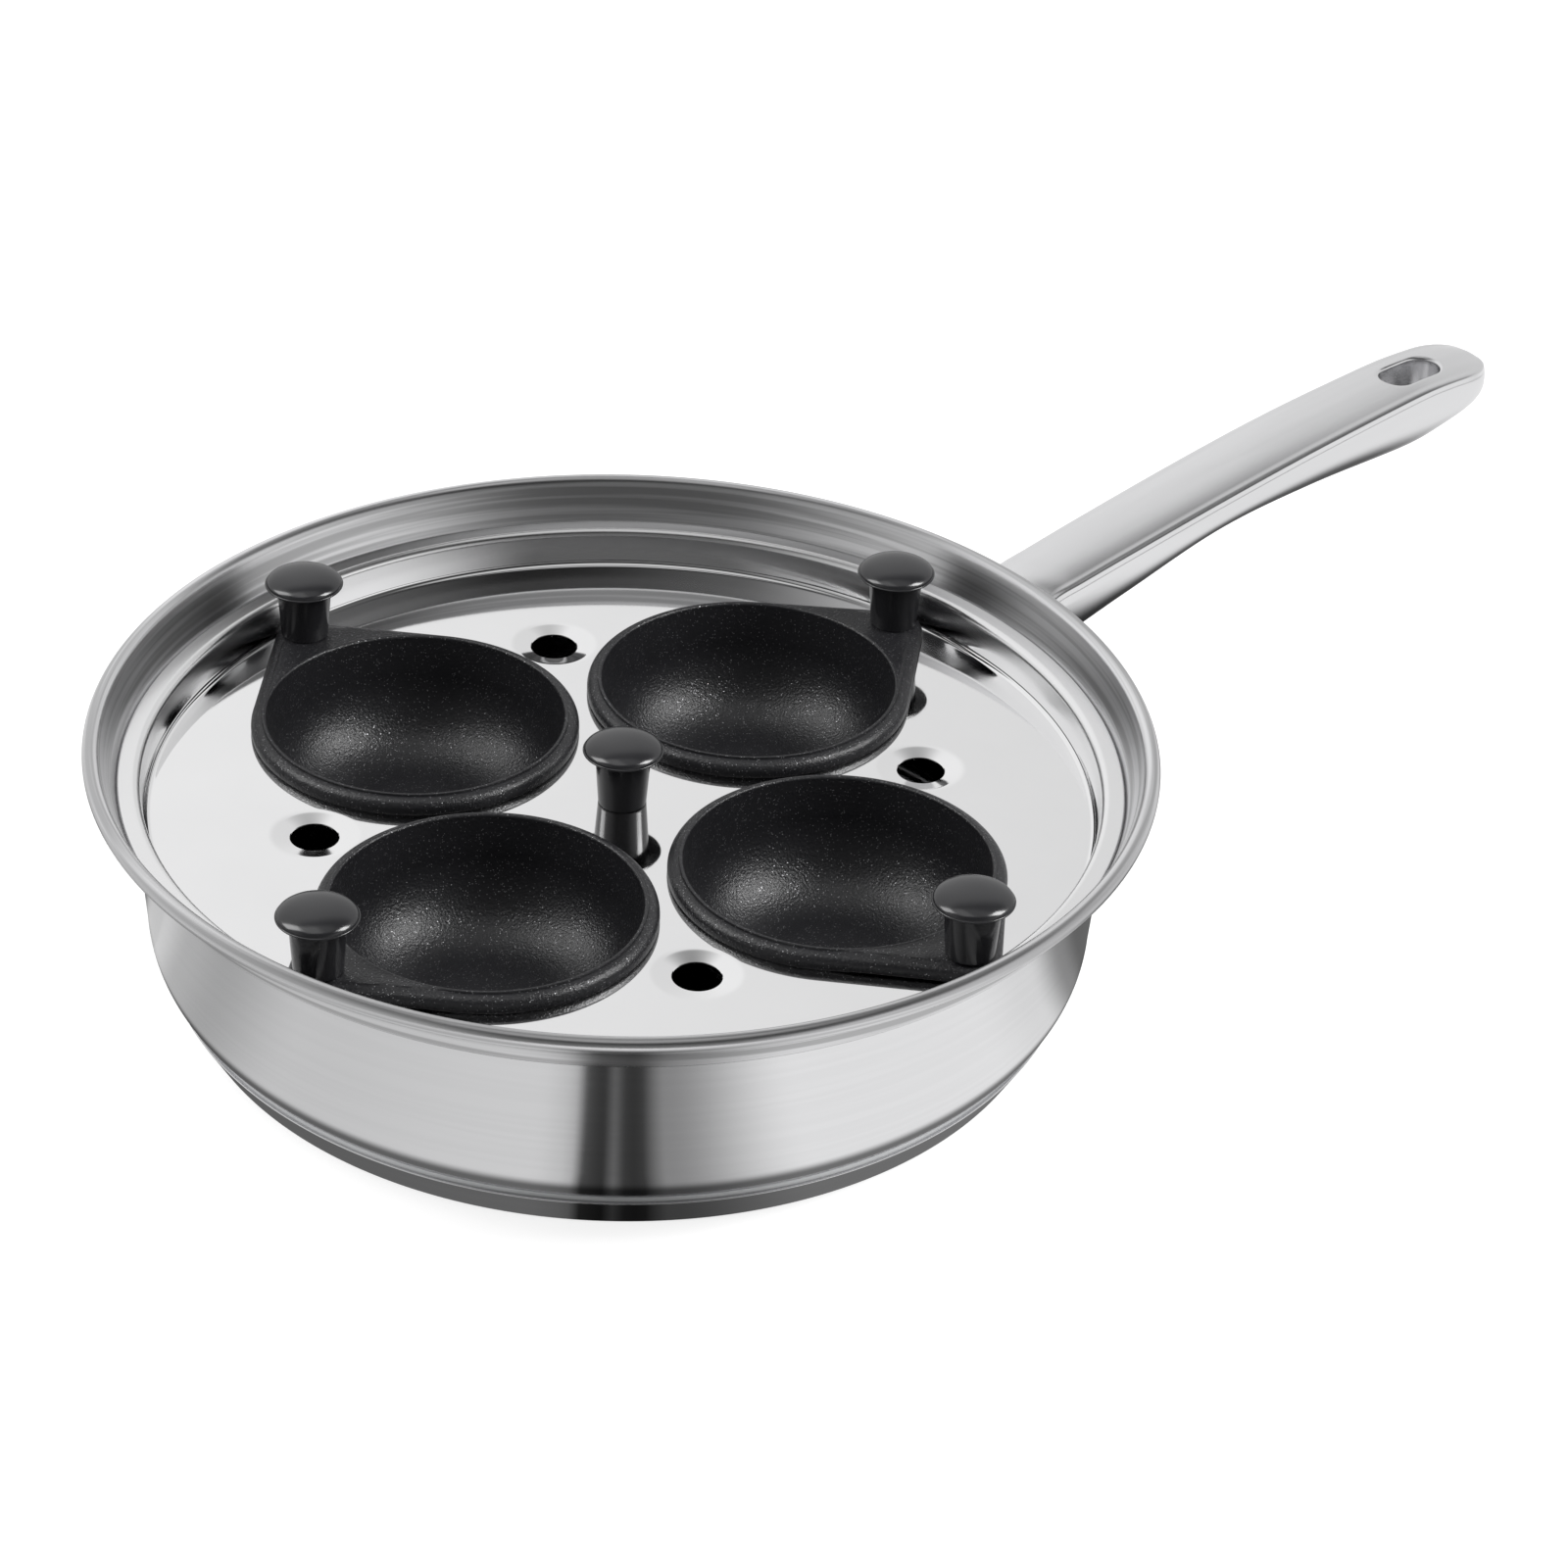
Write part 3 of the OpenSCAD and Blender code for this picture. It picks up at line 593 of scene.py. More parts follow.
class HandleForm:
    """The lines of the handle. Distances along it count from the pan's wall."""

    bulge_drop = 3.2  # drop of the widest line below the edge
    tip_round = 13.0  # length of the rounded tip
    tip_last = 0.985  # share of that length where the sections end
    power = 2.5  # squareness of the tip seen from above and of the trough's section
    nose_r = 1.6  # radius of the roll at the tip
    saddle_over = 4.5  # height of the saddle's top over the edge at the wall
    saddle_t = 1.0  # thickness of the saddle

    def __init__(self, handle, pan):
        for key in HandleSizes.__annotations__:
            setattr(self, key, mm(getattr(handle, key)))
        self.pan = PanForm(pan)
        self.root_x = self.pan.wall_at(self.root_z + self.saddle_over) + self.saddle_t
        self.hole_at = self.span - self.hole_back
        grip_len = self.hole_at + 1.5 - self.neck_len
        neck_z = self.root_z + self.neck_rise

        def neck(u, v):
            return (self.neck_len * u, self.root_z + self.neck_rise * v)

        def grip(u, v):
            return (self.neck_len + grip_len * u, neck_z + self.grip_rise * v)

        def part(a, b, t):
            return a + (b - a) * t

        self.edge_line = [neck(0, 0), neck(0.27, 0.33), neck(0.586, 0.715), neck(0.76, 0.87),
                          neck(1, 1), grip(0.056, 0.08), grip(0.176, 0.245), grip(0.417, 0.549),
                          grip(0.657, 0.8), grip(0.898, 0.967), grip(1, 1),
                          (self.span, neck_z + self.grip_rise - self.tip_drop)]
        at = self.neck_len
        self.depth_line = [(0, self.depth_root),
                           (at * 0.4, part(self.depth_root, self.depth_neck, 0.5)),
                           (at, self.depth_neck),
                           (at + grip_len * 0.18, part(self.depth_neck, self.depth_waist, 0.38)),
                           (at + grip_len * 0.42, self.depth_waist),
                           (at + grip_len * 0.66, part(self.depth_waist, self.depth_end, 0.38)),
                           (at + grip_len * 0.9, part(self.depth_waist, self.depth_end, 0.96)),
                           (at + grip_len * 0.97, self.depth_end),
                           (self.hole_at + 5, part(self.depth_end, self.depth_tip, 0.17)),
                           (self.hole_at + 13, part(self.depth_end, self.depth_tip, 0.5)),
                           (self.span, self.depth_tip)]
        self.half_line = [(0, self.half_root),
                          (at + grip_len * 0.3, part(self.half_root, self.half_grip, 0.8)),
                          (at + grip_len * 0.7, self.half_grip), (self.hole_at, self.half_end),
                          (self.span, self.half_end)]
        self.plain_end = self.span - self.tip_round

    @staticmethod
    def smooth(points, x):
        """The smooth curve through points, with each slope taken from its neighbours."""
        last = len(points) - 1

        def slope(i):
            a, b = points[max(0, i - 1)], points[min(last, i + 1)]
            return (b[1] - a[1]) / (b[0] - a[0])

        if x < points[0][0]:
            return points[0][1] + (x - points[0][0]) * slope(0)
        i = 0
        while i < last - 1 and x >= points[i + 1][0]:
            i += 1
        a, b = points[i], points[i + 1]
        w = b[0] - a[0]
        t = (x - a[0]) / w
        return (a[1] * (1 + 2 * t) * (1 - t) ** 2 + b[1] * t * t * (3 - 2 * t)
                + w * slope(i) * t * (1 - t) ** 2 - w * slope(i + 1) * t * t * (1 - t))

    def tip_share(self, s):
        """How much of the width is left at s."""
        u = min(1.0, max(0.0, s - self.plain_end) / (self.tip_round * self.tip_last))
        return max(0.0, 1 - u ** self.power) ** (1 / self.power)

    def edge_z(self, s):
        """Height of the top face's edge."""
        return self.smooth(self.edge_line, s)

    def half(self, s):
        """Half width of the top face."""
        return self.smooth(self.half_line, s) * self.tip_share(s)

    def side(self, s, drop):
        """Half width at a drop below the edge."""
        part = math.sin(math.radians(90 * min(1.0, drop / self.bulge_drop)))
        return self.half(s) + self.side_bulge * self.tip_share(s) * part

    def nose(self, s):
        """Drop of the top face where it rolls over at the tip."""
        end = self.plain_end + self.tip_round * self.tip_last
        over = max(0.0, s - (end - self.nose_r)) / self.nose_r
        return 0.75 * (1 - math.sqrt(max(0.0, 1 - over * over)))

    def crowned(self, s, share):
        """Rise of the crown at a share of its half width."""
        return self.crown * min(1.0, self.half(s) / self.half_root) * max(0.0, 1 - share * share)

    def top_z(self, s, y):
        """Height of the crowned top face."""
        return self.edge_z(s) + self.crowned(s, y / max(0.2, self.half(s))) - self.nose(s)

    def under_half(self, s):
        """Half width of the crown on the underside of the top."""
        return max(0.3 * self.half(s), self.half(s) - 1.2)

    def under_z(self, s, y):
        """Height of the underside of the top."""
        return self.edge_z(s) - self.sheet + self.crowned(s, y / self.under_half(s))

    def low_z(self, s, y, inset=0.0):
        """Height of the trough under the widest line, outside or inside."""
        w = max(0.4, self.side(s, self.bulge_drop) - inset)
        d = max(1.5, self.smooth(self.depth_line, s) - self.bulge_drop - inset)
        u = min(1.0, abs(y) / w)
        return (self.edge_z(s) - self.bulge_drop
                - d * max(0.0, 1 - u ** self.power) ** (1 / self.power))

    def stations(self, short=0.0):
        """Places of the sections, closer together round the tip."""
        plain = np.linspace(0, self.plain_end, 118)
        reach = self.tip_round * self.tip_last - short
        tip = [self.plain_end + reach * math.sin(math.radians(a)) for a in range(5, 88, 4)]
        return list(plain) + tip + [self.plain_end + reach * 0.9997]


def window(sheet, stations, across, centre, reach_s, reach_y):
    """The first and last row and column of a grid round a slot of that reach."""
    rows = [i for i, s in enumerate(stations) if abs(s - centre) <= reach_s]
    middle = (rows[0] + rows[-1]) // 2
    cols = [j for j in sheet if abs(across[middle][j]) <= reach_y]
    return rows[0] - 1, rows[-1] + 1, cols[0] - 1, cols[-1] + 1


def holed(build, span, grid, stations, across, height, centre, half_run, edge):
    """Joins a grid of vertices and leaves a slot in it, with rings that lead to the slot's edge.

    edge lists the radius and drop of each ring after the surface. The last ring comes back."""
    i0, i1, j0, j1 = span
    for i in range(len(stations) - 1):
        for j in range(len(grid[0]) - 1):
            if not (i0 <= i < i1 and j0 <= j < j1):
                build.faces.append((grid[i][j], grid[i + 1][j], grid[i + 1][j + 1], grid[i][j + 1]))
    loop = ([(i0, j) for j in range(j0, j1)] + [(i, j1) for i in range(i0, i1)]
            + [(i1, j) for j in range(j1, j0, -1)] + [(i, j0) for i in range(i1, i0, -1)])
    rays = []
    for i, j in loop:
        x, y = stations[i] - centre, across[i][j]
        c = min(half_run, max(-half_run, x))
        far = math.hypot(x - c, y)
        rays.append((c, (x - c) / far, y / far, far))
    ring = [grid[i][j] for i, j in loop]
    first = edge[0][0]
    steps = [(None, share / 5, 0.0) for share in range(1, 6)]
    steps += [(step[0], None) + tuple(step[1:]) for step in edge[1:]]
    for r, t, drop, *share in steps:
        points = []
        for c, dx, dy, far in rays:
            reach = far + (first - far) * t if r is None else r
            s, y = centre + c + dx * reach, dy * reach
            points.append((build.root_x + s, y, height(s, y, *share) - drop))
        new = build.ring(points)
        build.join(ring, new)
        ring = new
    return ring


class PanForm:
    """The section of the pan's sheet, from the axis to the end of the curl."""

    ledge_fold = 1.2
    flare_fold = 0.3

    def __init__(self, pan):
        for key in PanSizes.__annotations__:
            if key != "flare_lean":
                setattr(self, key, mm(getattr(pan, key)))
        self.lean = math.degrees(pan.flare_lean)
        self.corner_c = (self.wall_r - self.corner_r, self.floor_z + self.corner_r)
        self.ledge_c = (self.wall_r + self.wall_lean - self.sheet + self.ledge_fold,
                        self.ledge_z - self.ledge_fold)
        self.flare_c = (self.ledge_c[0] + self.ledge_w, self.ledge_z + self.flare_fold)
        tilt = math.radians(self.lean)
        run = self.flare_h / math.cos(tilt) - self.bead_r
        out = self.flare_fold + self.bead_r
        self.bead_c = (self.flare_c[0] + out * math.cos(tilt) + run * math.sin(tilt),
                       self.flare_c[1] - out * math.sin(tilt) + run * math.cos(tilt))
        self.flare_r = self.flare_c[0] + self.flare_fold

    def wall_at(self, z):
        """Outer radius of the wall at a height."""
        return self.wall_r + self.wall_lean * (z - self.corner_c[1]) / (
            self.ledge_c[1] - self.corner_c[1])

    def corner_at(self, z):
        """Outer radius of the rounded lower corner at a height."""
        return self.corner_c[0] + math.sqrt(self.corner_r ** 2 - (z - self.corner_c[1]) ** 2)

    def surface(self, depth):
        """One surface of the sheet: 0 outside, the sheet's thickness inside."""
        return ([(0, self.floor_z + depth)]
                + arc(self.corner_c, self.corner_r - depth, -90, 0, 26)
                + arc(self.ledge_c, self.ledge_fold - self.sheet + depth, 180, 90, 10)
                + arc(self.flare_c, self.flare_fold + self.sheet - depth, -90, -self.lean, 8)
                + arc(self.bead_c, self.bead_r - self.sheet + depth, 180 - self.lean, -120, 40))


# Operators


class POACHER_OT_body(bpy.types.Operator):
    """Build the pan's pressed steel body"""

    bl_idname = "poacher.body"
    bl_label = "Pan Body"

    def execute(self, context):
        pan = PanForm(context.scene.poacher_pan)
        finish = context.scene.poacher_finish
        steel = polished_steel("Polished Steel", finish.steel, finish.polish)
        build = Builder()
        build.turned(supported(pan.surface(0) + pan.surface(pan.sheet)[::-1]), PAN_SIDES)
        piece("pan_shell", finished(build.mesh("pan_shell")), steel, "pan", "polished_steel",
              "pan_body")
        return {"FINISHED"}


class POACHER_OT_base(bpy.types.Operator):
    """Build the base cap and finish the core inside it"""

    bl_idname = "poacher.base"
    bl_label = "Base"

    def execute(self, context):
        pan = PanForm(context.scene.poacher_pan)
        finish = context.scene.poacher_finish
        t = pan.cap_sheet
        top_z = pan.floor_z + pan.cap_rise
        edge = (pan.corner_at(top_z) + 2 * t, top_z - 0.7)
        fold = t + 0.4
        foot = (pan.foot_r, fold)
        side = math.degrees(math.atan2(edge[1] - foot[1], edge[0] - foot[0])
                            - math.acos(fold / math.dist(edge, foot)))
        out = (math.cos(math.radians(side)), math.sin(math.radians(side)))

        def within(depth):
            """The point that far inside both faces of the cap's edge."""
            return edge[0] - depth * (out[0] - out[1]), edge[1] - depth * (out[1] + out[0])

        lip = 0.18
        groove_z = top_z - 0.92
        dent_r, dent = 8.0, 0.12  # dent in the middle, so that the base stands on its rim
        outline = ([(0, dent), (dent_r, dent), (dent_r + 0.5, 0.0)]
                   + arc(foot, fold, -90, side, 10) + arc(within(lip), lip, side, side + 120, 8)
                   + [(pan.corner_at(groove_z), groove_z), within(t)]
                   + arc(foot, fold - t, side, -90, 6) + [(0, t)])
        build = Builder()
        build.turned(supported(outline), PAN_SIDES)
        steel = polished_steel("Base Steel", [0.94 * c for c in finish.steel],
                               finish.polish + 0.05, 2.2, 1.6)
        piece("base_shell", finished(build.mesh("base_shell")), steel, "pan", "polished_steel",
              "base_cap")
        core = frame["nodes"]["base_core"].data.materials
        core.clear()
        core.append(turned_metal("Core Aluminium", (0.72, 0.73, 0.74), 0.34))
        return {"FINISHED"}


class POACHER_OT_handle(bpy.types.Operator):
    """Build the handle's two shells and its saddle"""

    bl_idname = "poacher.handle"
    bl_label = "Handle"

    def top_shell(self, form):
        """The crowned top with its turned hanging hole."""
        build = Builder()
        build.root_x = form.root_x
        stations = form.stations()
        count = 26  # faces across the crown
        chamfer = 0.05
        top, top_y, under, under_y = [], [], [], []
        for s in stations:
            w, low = form.half(s), form.edge_z(s) - form.sheet
            fold_w, fold_h = min(1.9, 0.4 * w), min(0.7, 0.3 * w)
            k = form.side(s, form.sheet)
            ys, zs = [k - chamfer, k], [low, low + chamfer]
            rim = form.top_z(s, w - fold_w)
            for a in range(0, 90, 15):
                ys.append(w - fold_w + fold_w * math.cos(math.radians(a)))
                zs.append(rim - fold_h + fold_h * math.sin(math.radians(a)))
            folded = len(ys)
            crown = [(w - fold_w) * (1 - 2 * j / count) for j in range(count + 1)]
            ys += crown + [-y for y in ys[::-1]]
            zs += [form.top_z(s, y) for y in crown] + zs[::-1]
            top.append(build.ring([(form.root_x + s, y, z) for y, z in zip(ys, zs)]))
            top_y.append(ys)
            k, g = k - 5 * chamfer, form.under_half(s)
            ys = [k - (k - g) * i / folded for i in range(folded)]
            ys += [g * (1 - 2 * j / count) for j in range(count + 1)] + [-y for y in ys[::-1]]
            under.append(build.ring([(form.root_x + s, y, form.under_z(s, y)) for y in ys]))
            under_y.append(ys)
        half_run = (form.hole_len - form.hole_w) / 2
        r = form.hole_w / 2
        outer_r = r + 0.8  # outside of the collar
        fillet = 0.9  # of the top face into the hole
        edge = [(r + fillet, 0.0)]
        edge += [(r + fillet - fillet * math.sin(math.radians(a)),
                  fillet - fillet * math.cos(math.radians(a))) for a in range(15, 91, 15)]
        edge += [(r, 2.0), (r, 0.0, 1), (r + 0.1, -0.1, 1), (outer_r - 0.1, -0.1, 1),
                 (outer_r, 0.0, 1), (outer_r, 2.0)]
        span = window(range(len(top[0])), stations, top_y, form.hole_at, half_run + r + 2.4,
                      r + 1.9)

        def collar(s, y, share=0):
            """The top face, or for share 1 the place where the collar ends inside the trough."""
            return form.top_z(s, y) if share == 0 else form.low_z(form.hole_at, 0, 1.0) + 0.1

        lip = holed(build, span, top, stations, top_y, collar, form.hole_at, half_run, edge)
        seat = holed(build, span, under, stations, under_y, form.under_z, form.hole_at, half_run,
                     [(outer_r, 0.0)])
        build.join(lip, seat)
        for end in (0, -1):
            build.join(top[end], under[end], closed=False)
        for a, b in zip(range(len(stations)), range(1, len(stations))):
            for j in (0, -1):
                build.faces.append((top[a][j], top[b][j], under[b][j], under[a][j]))
        return finished(build.mesh("handle_cover"), 40)

    def low_shell(self, form):
        """The trough below, with its opening under the hanging hole."""
        build = Builder()
        build.root_x = form.root_x
        wider, longer = 2.6, 4.5  # the opening's radius and half length over the hole's
        half_run = (form.hole_len - form.hole_w) / 2 + longer - wider
        radius = form.hole_w / 2 + wider
        seam = form.sheet + 0.03
        grids = []
        span = None
        for inset in (0.0, form.sheet):
            stations = form.stations(inset)
            grid, across = [], []
            for s in stations:
                z = form.edge_z(s)
                chamfer = 0.05 if inset == 0 else 0.0
                floor_w = 0.3 if inset == 0 else 0.5
                w_top = max(floor_w, form.side(s, seam) - inset)
                ys, zs = [w_top - chamfer], [z - seam]
                for t in (0.0, 0.2, 0.4, 0.6, 0.8):
                    drop = seam + chamfer + (form.bulge_drop - seam - chamfer) * t
                    ys.append(max(floor_w, form.side(s, drop) - inset))
                    zs.append(z - drop)
                w = max(floor_w, form.side(s, form.bulge_drop) - inset)
                d = max(1.5, form.smooth(form.depth_line, s) - form.bulge_drop - inset)
                side = len(ys)
                for a in np.arange(49) * math.pi / 48:
                    c, q = math.cos(a), abs(math.sin(a))
                    ys.append(w * math.copysign(abs(c) ** (2 / form.power), c))
                    zs.append(z - form.bulge_drop - d * q ** (2 / form.power))
                ys += [-y for y in ys[:side][::-1]]
                zs += zs[:side][::-1]
                grid.append(build.ring([(form.root_x + s, y, v) for y, v in zip(ys, zs)]))
                across.append(ys)

            def depth(s, y, inset=inset):
                return form.low_z(s, y, inset)

            span = span or window(range(7, len(grid[0]) - 7), stations, across, form.hole_at,
                                  half_run + radius + 0.6, radius + 0.3)
            mouth = holed(build, span, grid, stations, across, depth, form.hole_at, half_run,
                          [(radius, 0.0)])
            grids.append((grid, mouth))
        (outer, mouth), (inner, port) = grids
        build.join(mouth, port)
        build.join(outer[0], inner[0], closed=False)
        count = len(outer[0])
        for grid in (outer, inner):
            last = grid[-1]
            for j in range(count // 2):
                a, b, c, d = last[j], last[j + 1], last[count - 2 - j], last[count - 1 - j]
                build.faces.append((a, b, d) if b == c else (a, b, c, d))
        for i in range(len(outer) - 1):
            for j in (0, -1):
                build.faces.append((outer[i][j], outer[i + 1][j], inner[i + 1][j], inner[i][j]))
        build.faces.append((outer[-1][0], outer[-1][-1], inner[-1][-1], inner[-1][0]))
        return finished(build.mesh("handle_trough"), 40)

    def saddle(self, form):
        """The plate that follows the round wall and carries the handle."""
        build = Builder()
        corner = 3.0
        wide, tall = form.saddle_half - corner, form.saddle_h / 2 - corner
        middle = form.root_z + form.saddle_over - form.saddle_h / 2
        points = []
        for k, (sy, sz) in enumerate(((1, 1), (-1, 1), (-1, -1), (1, -1))):
            points += arc((sy * wide, sz * tall), corner, 90 * k, 90 * k + 90, 8)
        rings = []

        def put(scale, depth, wall):
            line = []
            for y, z in points:
                y, z = y * scale, middle + z * scale
                x = math.sqrt(form.pan.wall_at(z) ** 2 - y * y) if wall else form.root_x - depth
                line.append((x, y, z))
            rings.append(build.ring(line))

        rings.append(build.ring([(form.root_x, 0, middle)]))
        put(0.5, 0.0, False)
        for a in (0, 30, 60, 90):
            rise = 0.45 * (1 - math.cos(math.radians(a)))
            put(0.955 + 0.045 * math.sin(math.radians(a)), rise, False)
        for scale in (1.0, 0.8, 0.6, 0.4, 0.2):
            put(scale, 0.0, True)
        rings.append(build.ring([(form.pan.wall_at(middle), 0, middle)]))
        build.join_all(rings)
        return finished(build.mesh("handle_plate"), 40)

    def execute(self, context):
        form = HandleForm(context.scene.poacher_handle, context.scene.poacher_pan)
        steel = satin_steel("Satin Steel", context.scene.poacher_finish.handle_steel)
        for name, mesh, stands_for in (
                ("handle_cover", self.top_shell(form), "handle_top_shell"),
                ("handle_trough", self.low_shell(form), "handle_bottom_shell"),
                ("handle_plate", self.saddle(form), "handle_saddle")):
            piece(name, mesh, steel, "pan", "satin_steel", stands_for)
        return {"FINISHED"}


def tray_levels(scene):
    """Heights of the tray's flange and floor, in millimetres."""
    flange = mm(scene.poacher_pan.ledge_z) + mm(scene.poacher_tray.sheet)
    return flange, flange - mm(scene.poacher_tray.depth)


class POACHER_OT_tray(bpy.types.Operator):
    """Build the mirror polished tray with its cup openings and steam holes"""

    bl_idname = "poacher.tray"
    bl_label = "Tray"

    def execute(self, context):
        scene = context.scene
        tray, cups = scene.poacher_tray, scene.poacher_cups
        pan = PanForm(scene.poacher_pan)
        steel = mirror_steel("Mirror Steel", scene.poacher_finish.tray_steel)
        t = mm(tray.sheet)
        lean = math.degrees(tray.lean)
        flange_z, floor_z = tray_levels(scene)
        play = 0.3  # gap between the tray and the pan, and between a cup and its opening
        flange_r = pan.flare_r - play
        fold = mm(tray.fold)
        fold_c = (pan.ledge_c[0] - pan.ledge_fold - play + fold - t, flange_z - fold)
        foot = 1.2  # radius of the fold between the floor and the wall
        top = (fold_c[0] - fold * math.cos(tray.lean), fold_c[1] + fold * math.sin(tray.lean))
        floor_c = (top[0] - (top[1] - floor_z - foot) * math.tan(tray.lean)
                   - foot / math.cos(tray.lean), floor_z + foot)
        flat_r = floor_c[0] - 1.0
        flat = 0.7  # width of the flat band meshed round each opening
        round_r = 0.2  # rounding of the flange's edge

        def surface(d):
            """One surface of the wall, from the floor to the flange."""
            return (arc(floor_c, foot + d, -90, -lean, 12)
                    + arc(fold_c, fold - d, 180 - lean, 90, 12))

        edge = arc((flange_r - round_r, flange_z - round_r), round_r, 90, 0, 3)
        edge += arc((flange_r - round_r, flange_z - t + round_r), round_r, 0, -90, 3)
        wall = supported(surface(0) + edge + surface(t)[::-1])
        outline = ([(flat_r, floor_z), (floor_c[0] - 0.3, floor_z)] + wall
                   + [(floor_c[0] - 0.3, floor_z - t), (flat_r, floor_z - t)])
        build = Builder()
        build.turned(outline, PAN_SIDES)
        r = SCREW_HOLE_R
        build.turned([(r + 0.1 + flat, floor_z), (r + 0.3, floor_z), (r + 0.1, floor_z),
                      (r, floor_z - 0.1), (r, floor_z - t + 0.1), (r + 0.1, floor_z - t),
                      (r + 0.1 + flat, floor_z - t)], 40)
        bm = bmesh.new()
        bm.from_mesh(build.mesh("tray_wall"))

        opening = Builder()
        r = CupForm(cups).bowl_r + mm(cups.wall) + play
        opening.turned([(r + flat, 0), (r + 0.35, 0), (r + 0.15, 0), (r + 0.04, -0.04), (r, -0.15),
                        (r, -t + 0.15), (r + 0.04, -t + 0.04), (r + 0.15, -t),
                        (r + flat, -t)], KNOB_SIDES)
        dimple = Builder()
        far, near, deep = mm(tray.dimple_r), mm(tray.steam_r), mm(tray.dimple_depth)
        bend = 0.3  # share of the dimple's side that is curved, before it falls straight
        slope = [(far + flat, 0), (far + 0.25, 0)]
        for u in np.linspace(0, 1, 20):
            fall = (u * u / (2 * bend) if u < bend else u - bend / 2) / (1 - bend / 2)
            slope.append((far + (near + 0.12 - far) * u, -deep * fall))
        lower = [(x + 0.05 if 2 < i < len(slope) - 1 else x, z - t)
                 for i, (x, z) in enumerate(slope)]
        dimple.turned(slope + [(near, -deep - 0.12), (near, -deep - t + 0.12)] + lower[::-1], 96)
        height = floor_z * MM
        step = math.pi / tray.count
        for mesh in (copied(opening.mesh("cup_opening"), "cup_openings", steel, tray.count,
                            cups.ring, cups.phase, height),
                     copied(dimple.mesh("steam_dimple"), "steam_dimples", steel, tray.count,
                            tray.steam_ring, cups.phase + step, height)):
            bm.from_mesh(mesh)
        for level in (floor_z, floor_z - t):
            rim = [e for e in bm.edges if e.is_boundary
                   and all(abs(v.co.z - level * MM) < MICRON for v in e.verts)]
            bmesh.ops.triangle_fill(bm, use_beauty=True, use_dissolve=False, edges=rim)
        mesh = bpy.data.meshes.new("tray_sheet")
        bm.to_mesh(mesh)
        bm.free()
        piece("tray_sheet", finished(mesh, 34), steel, "tray", "mirror_steel", "poacher_tray")
        return {"FINISHED"}


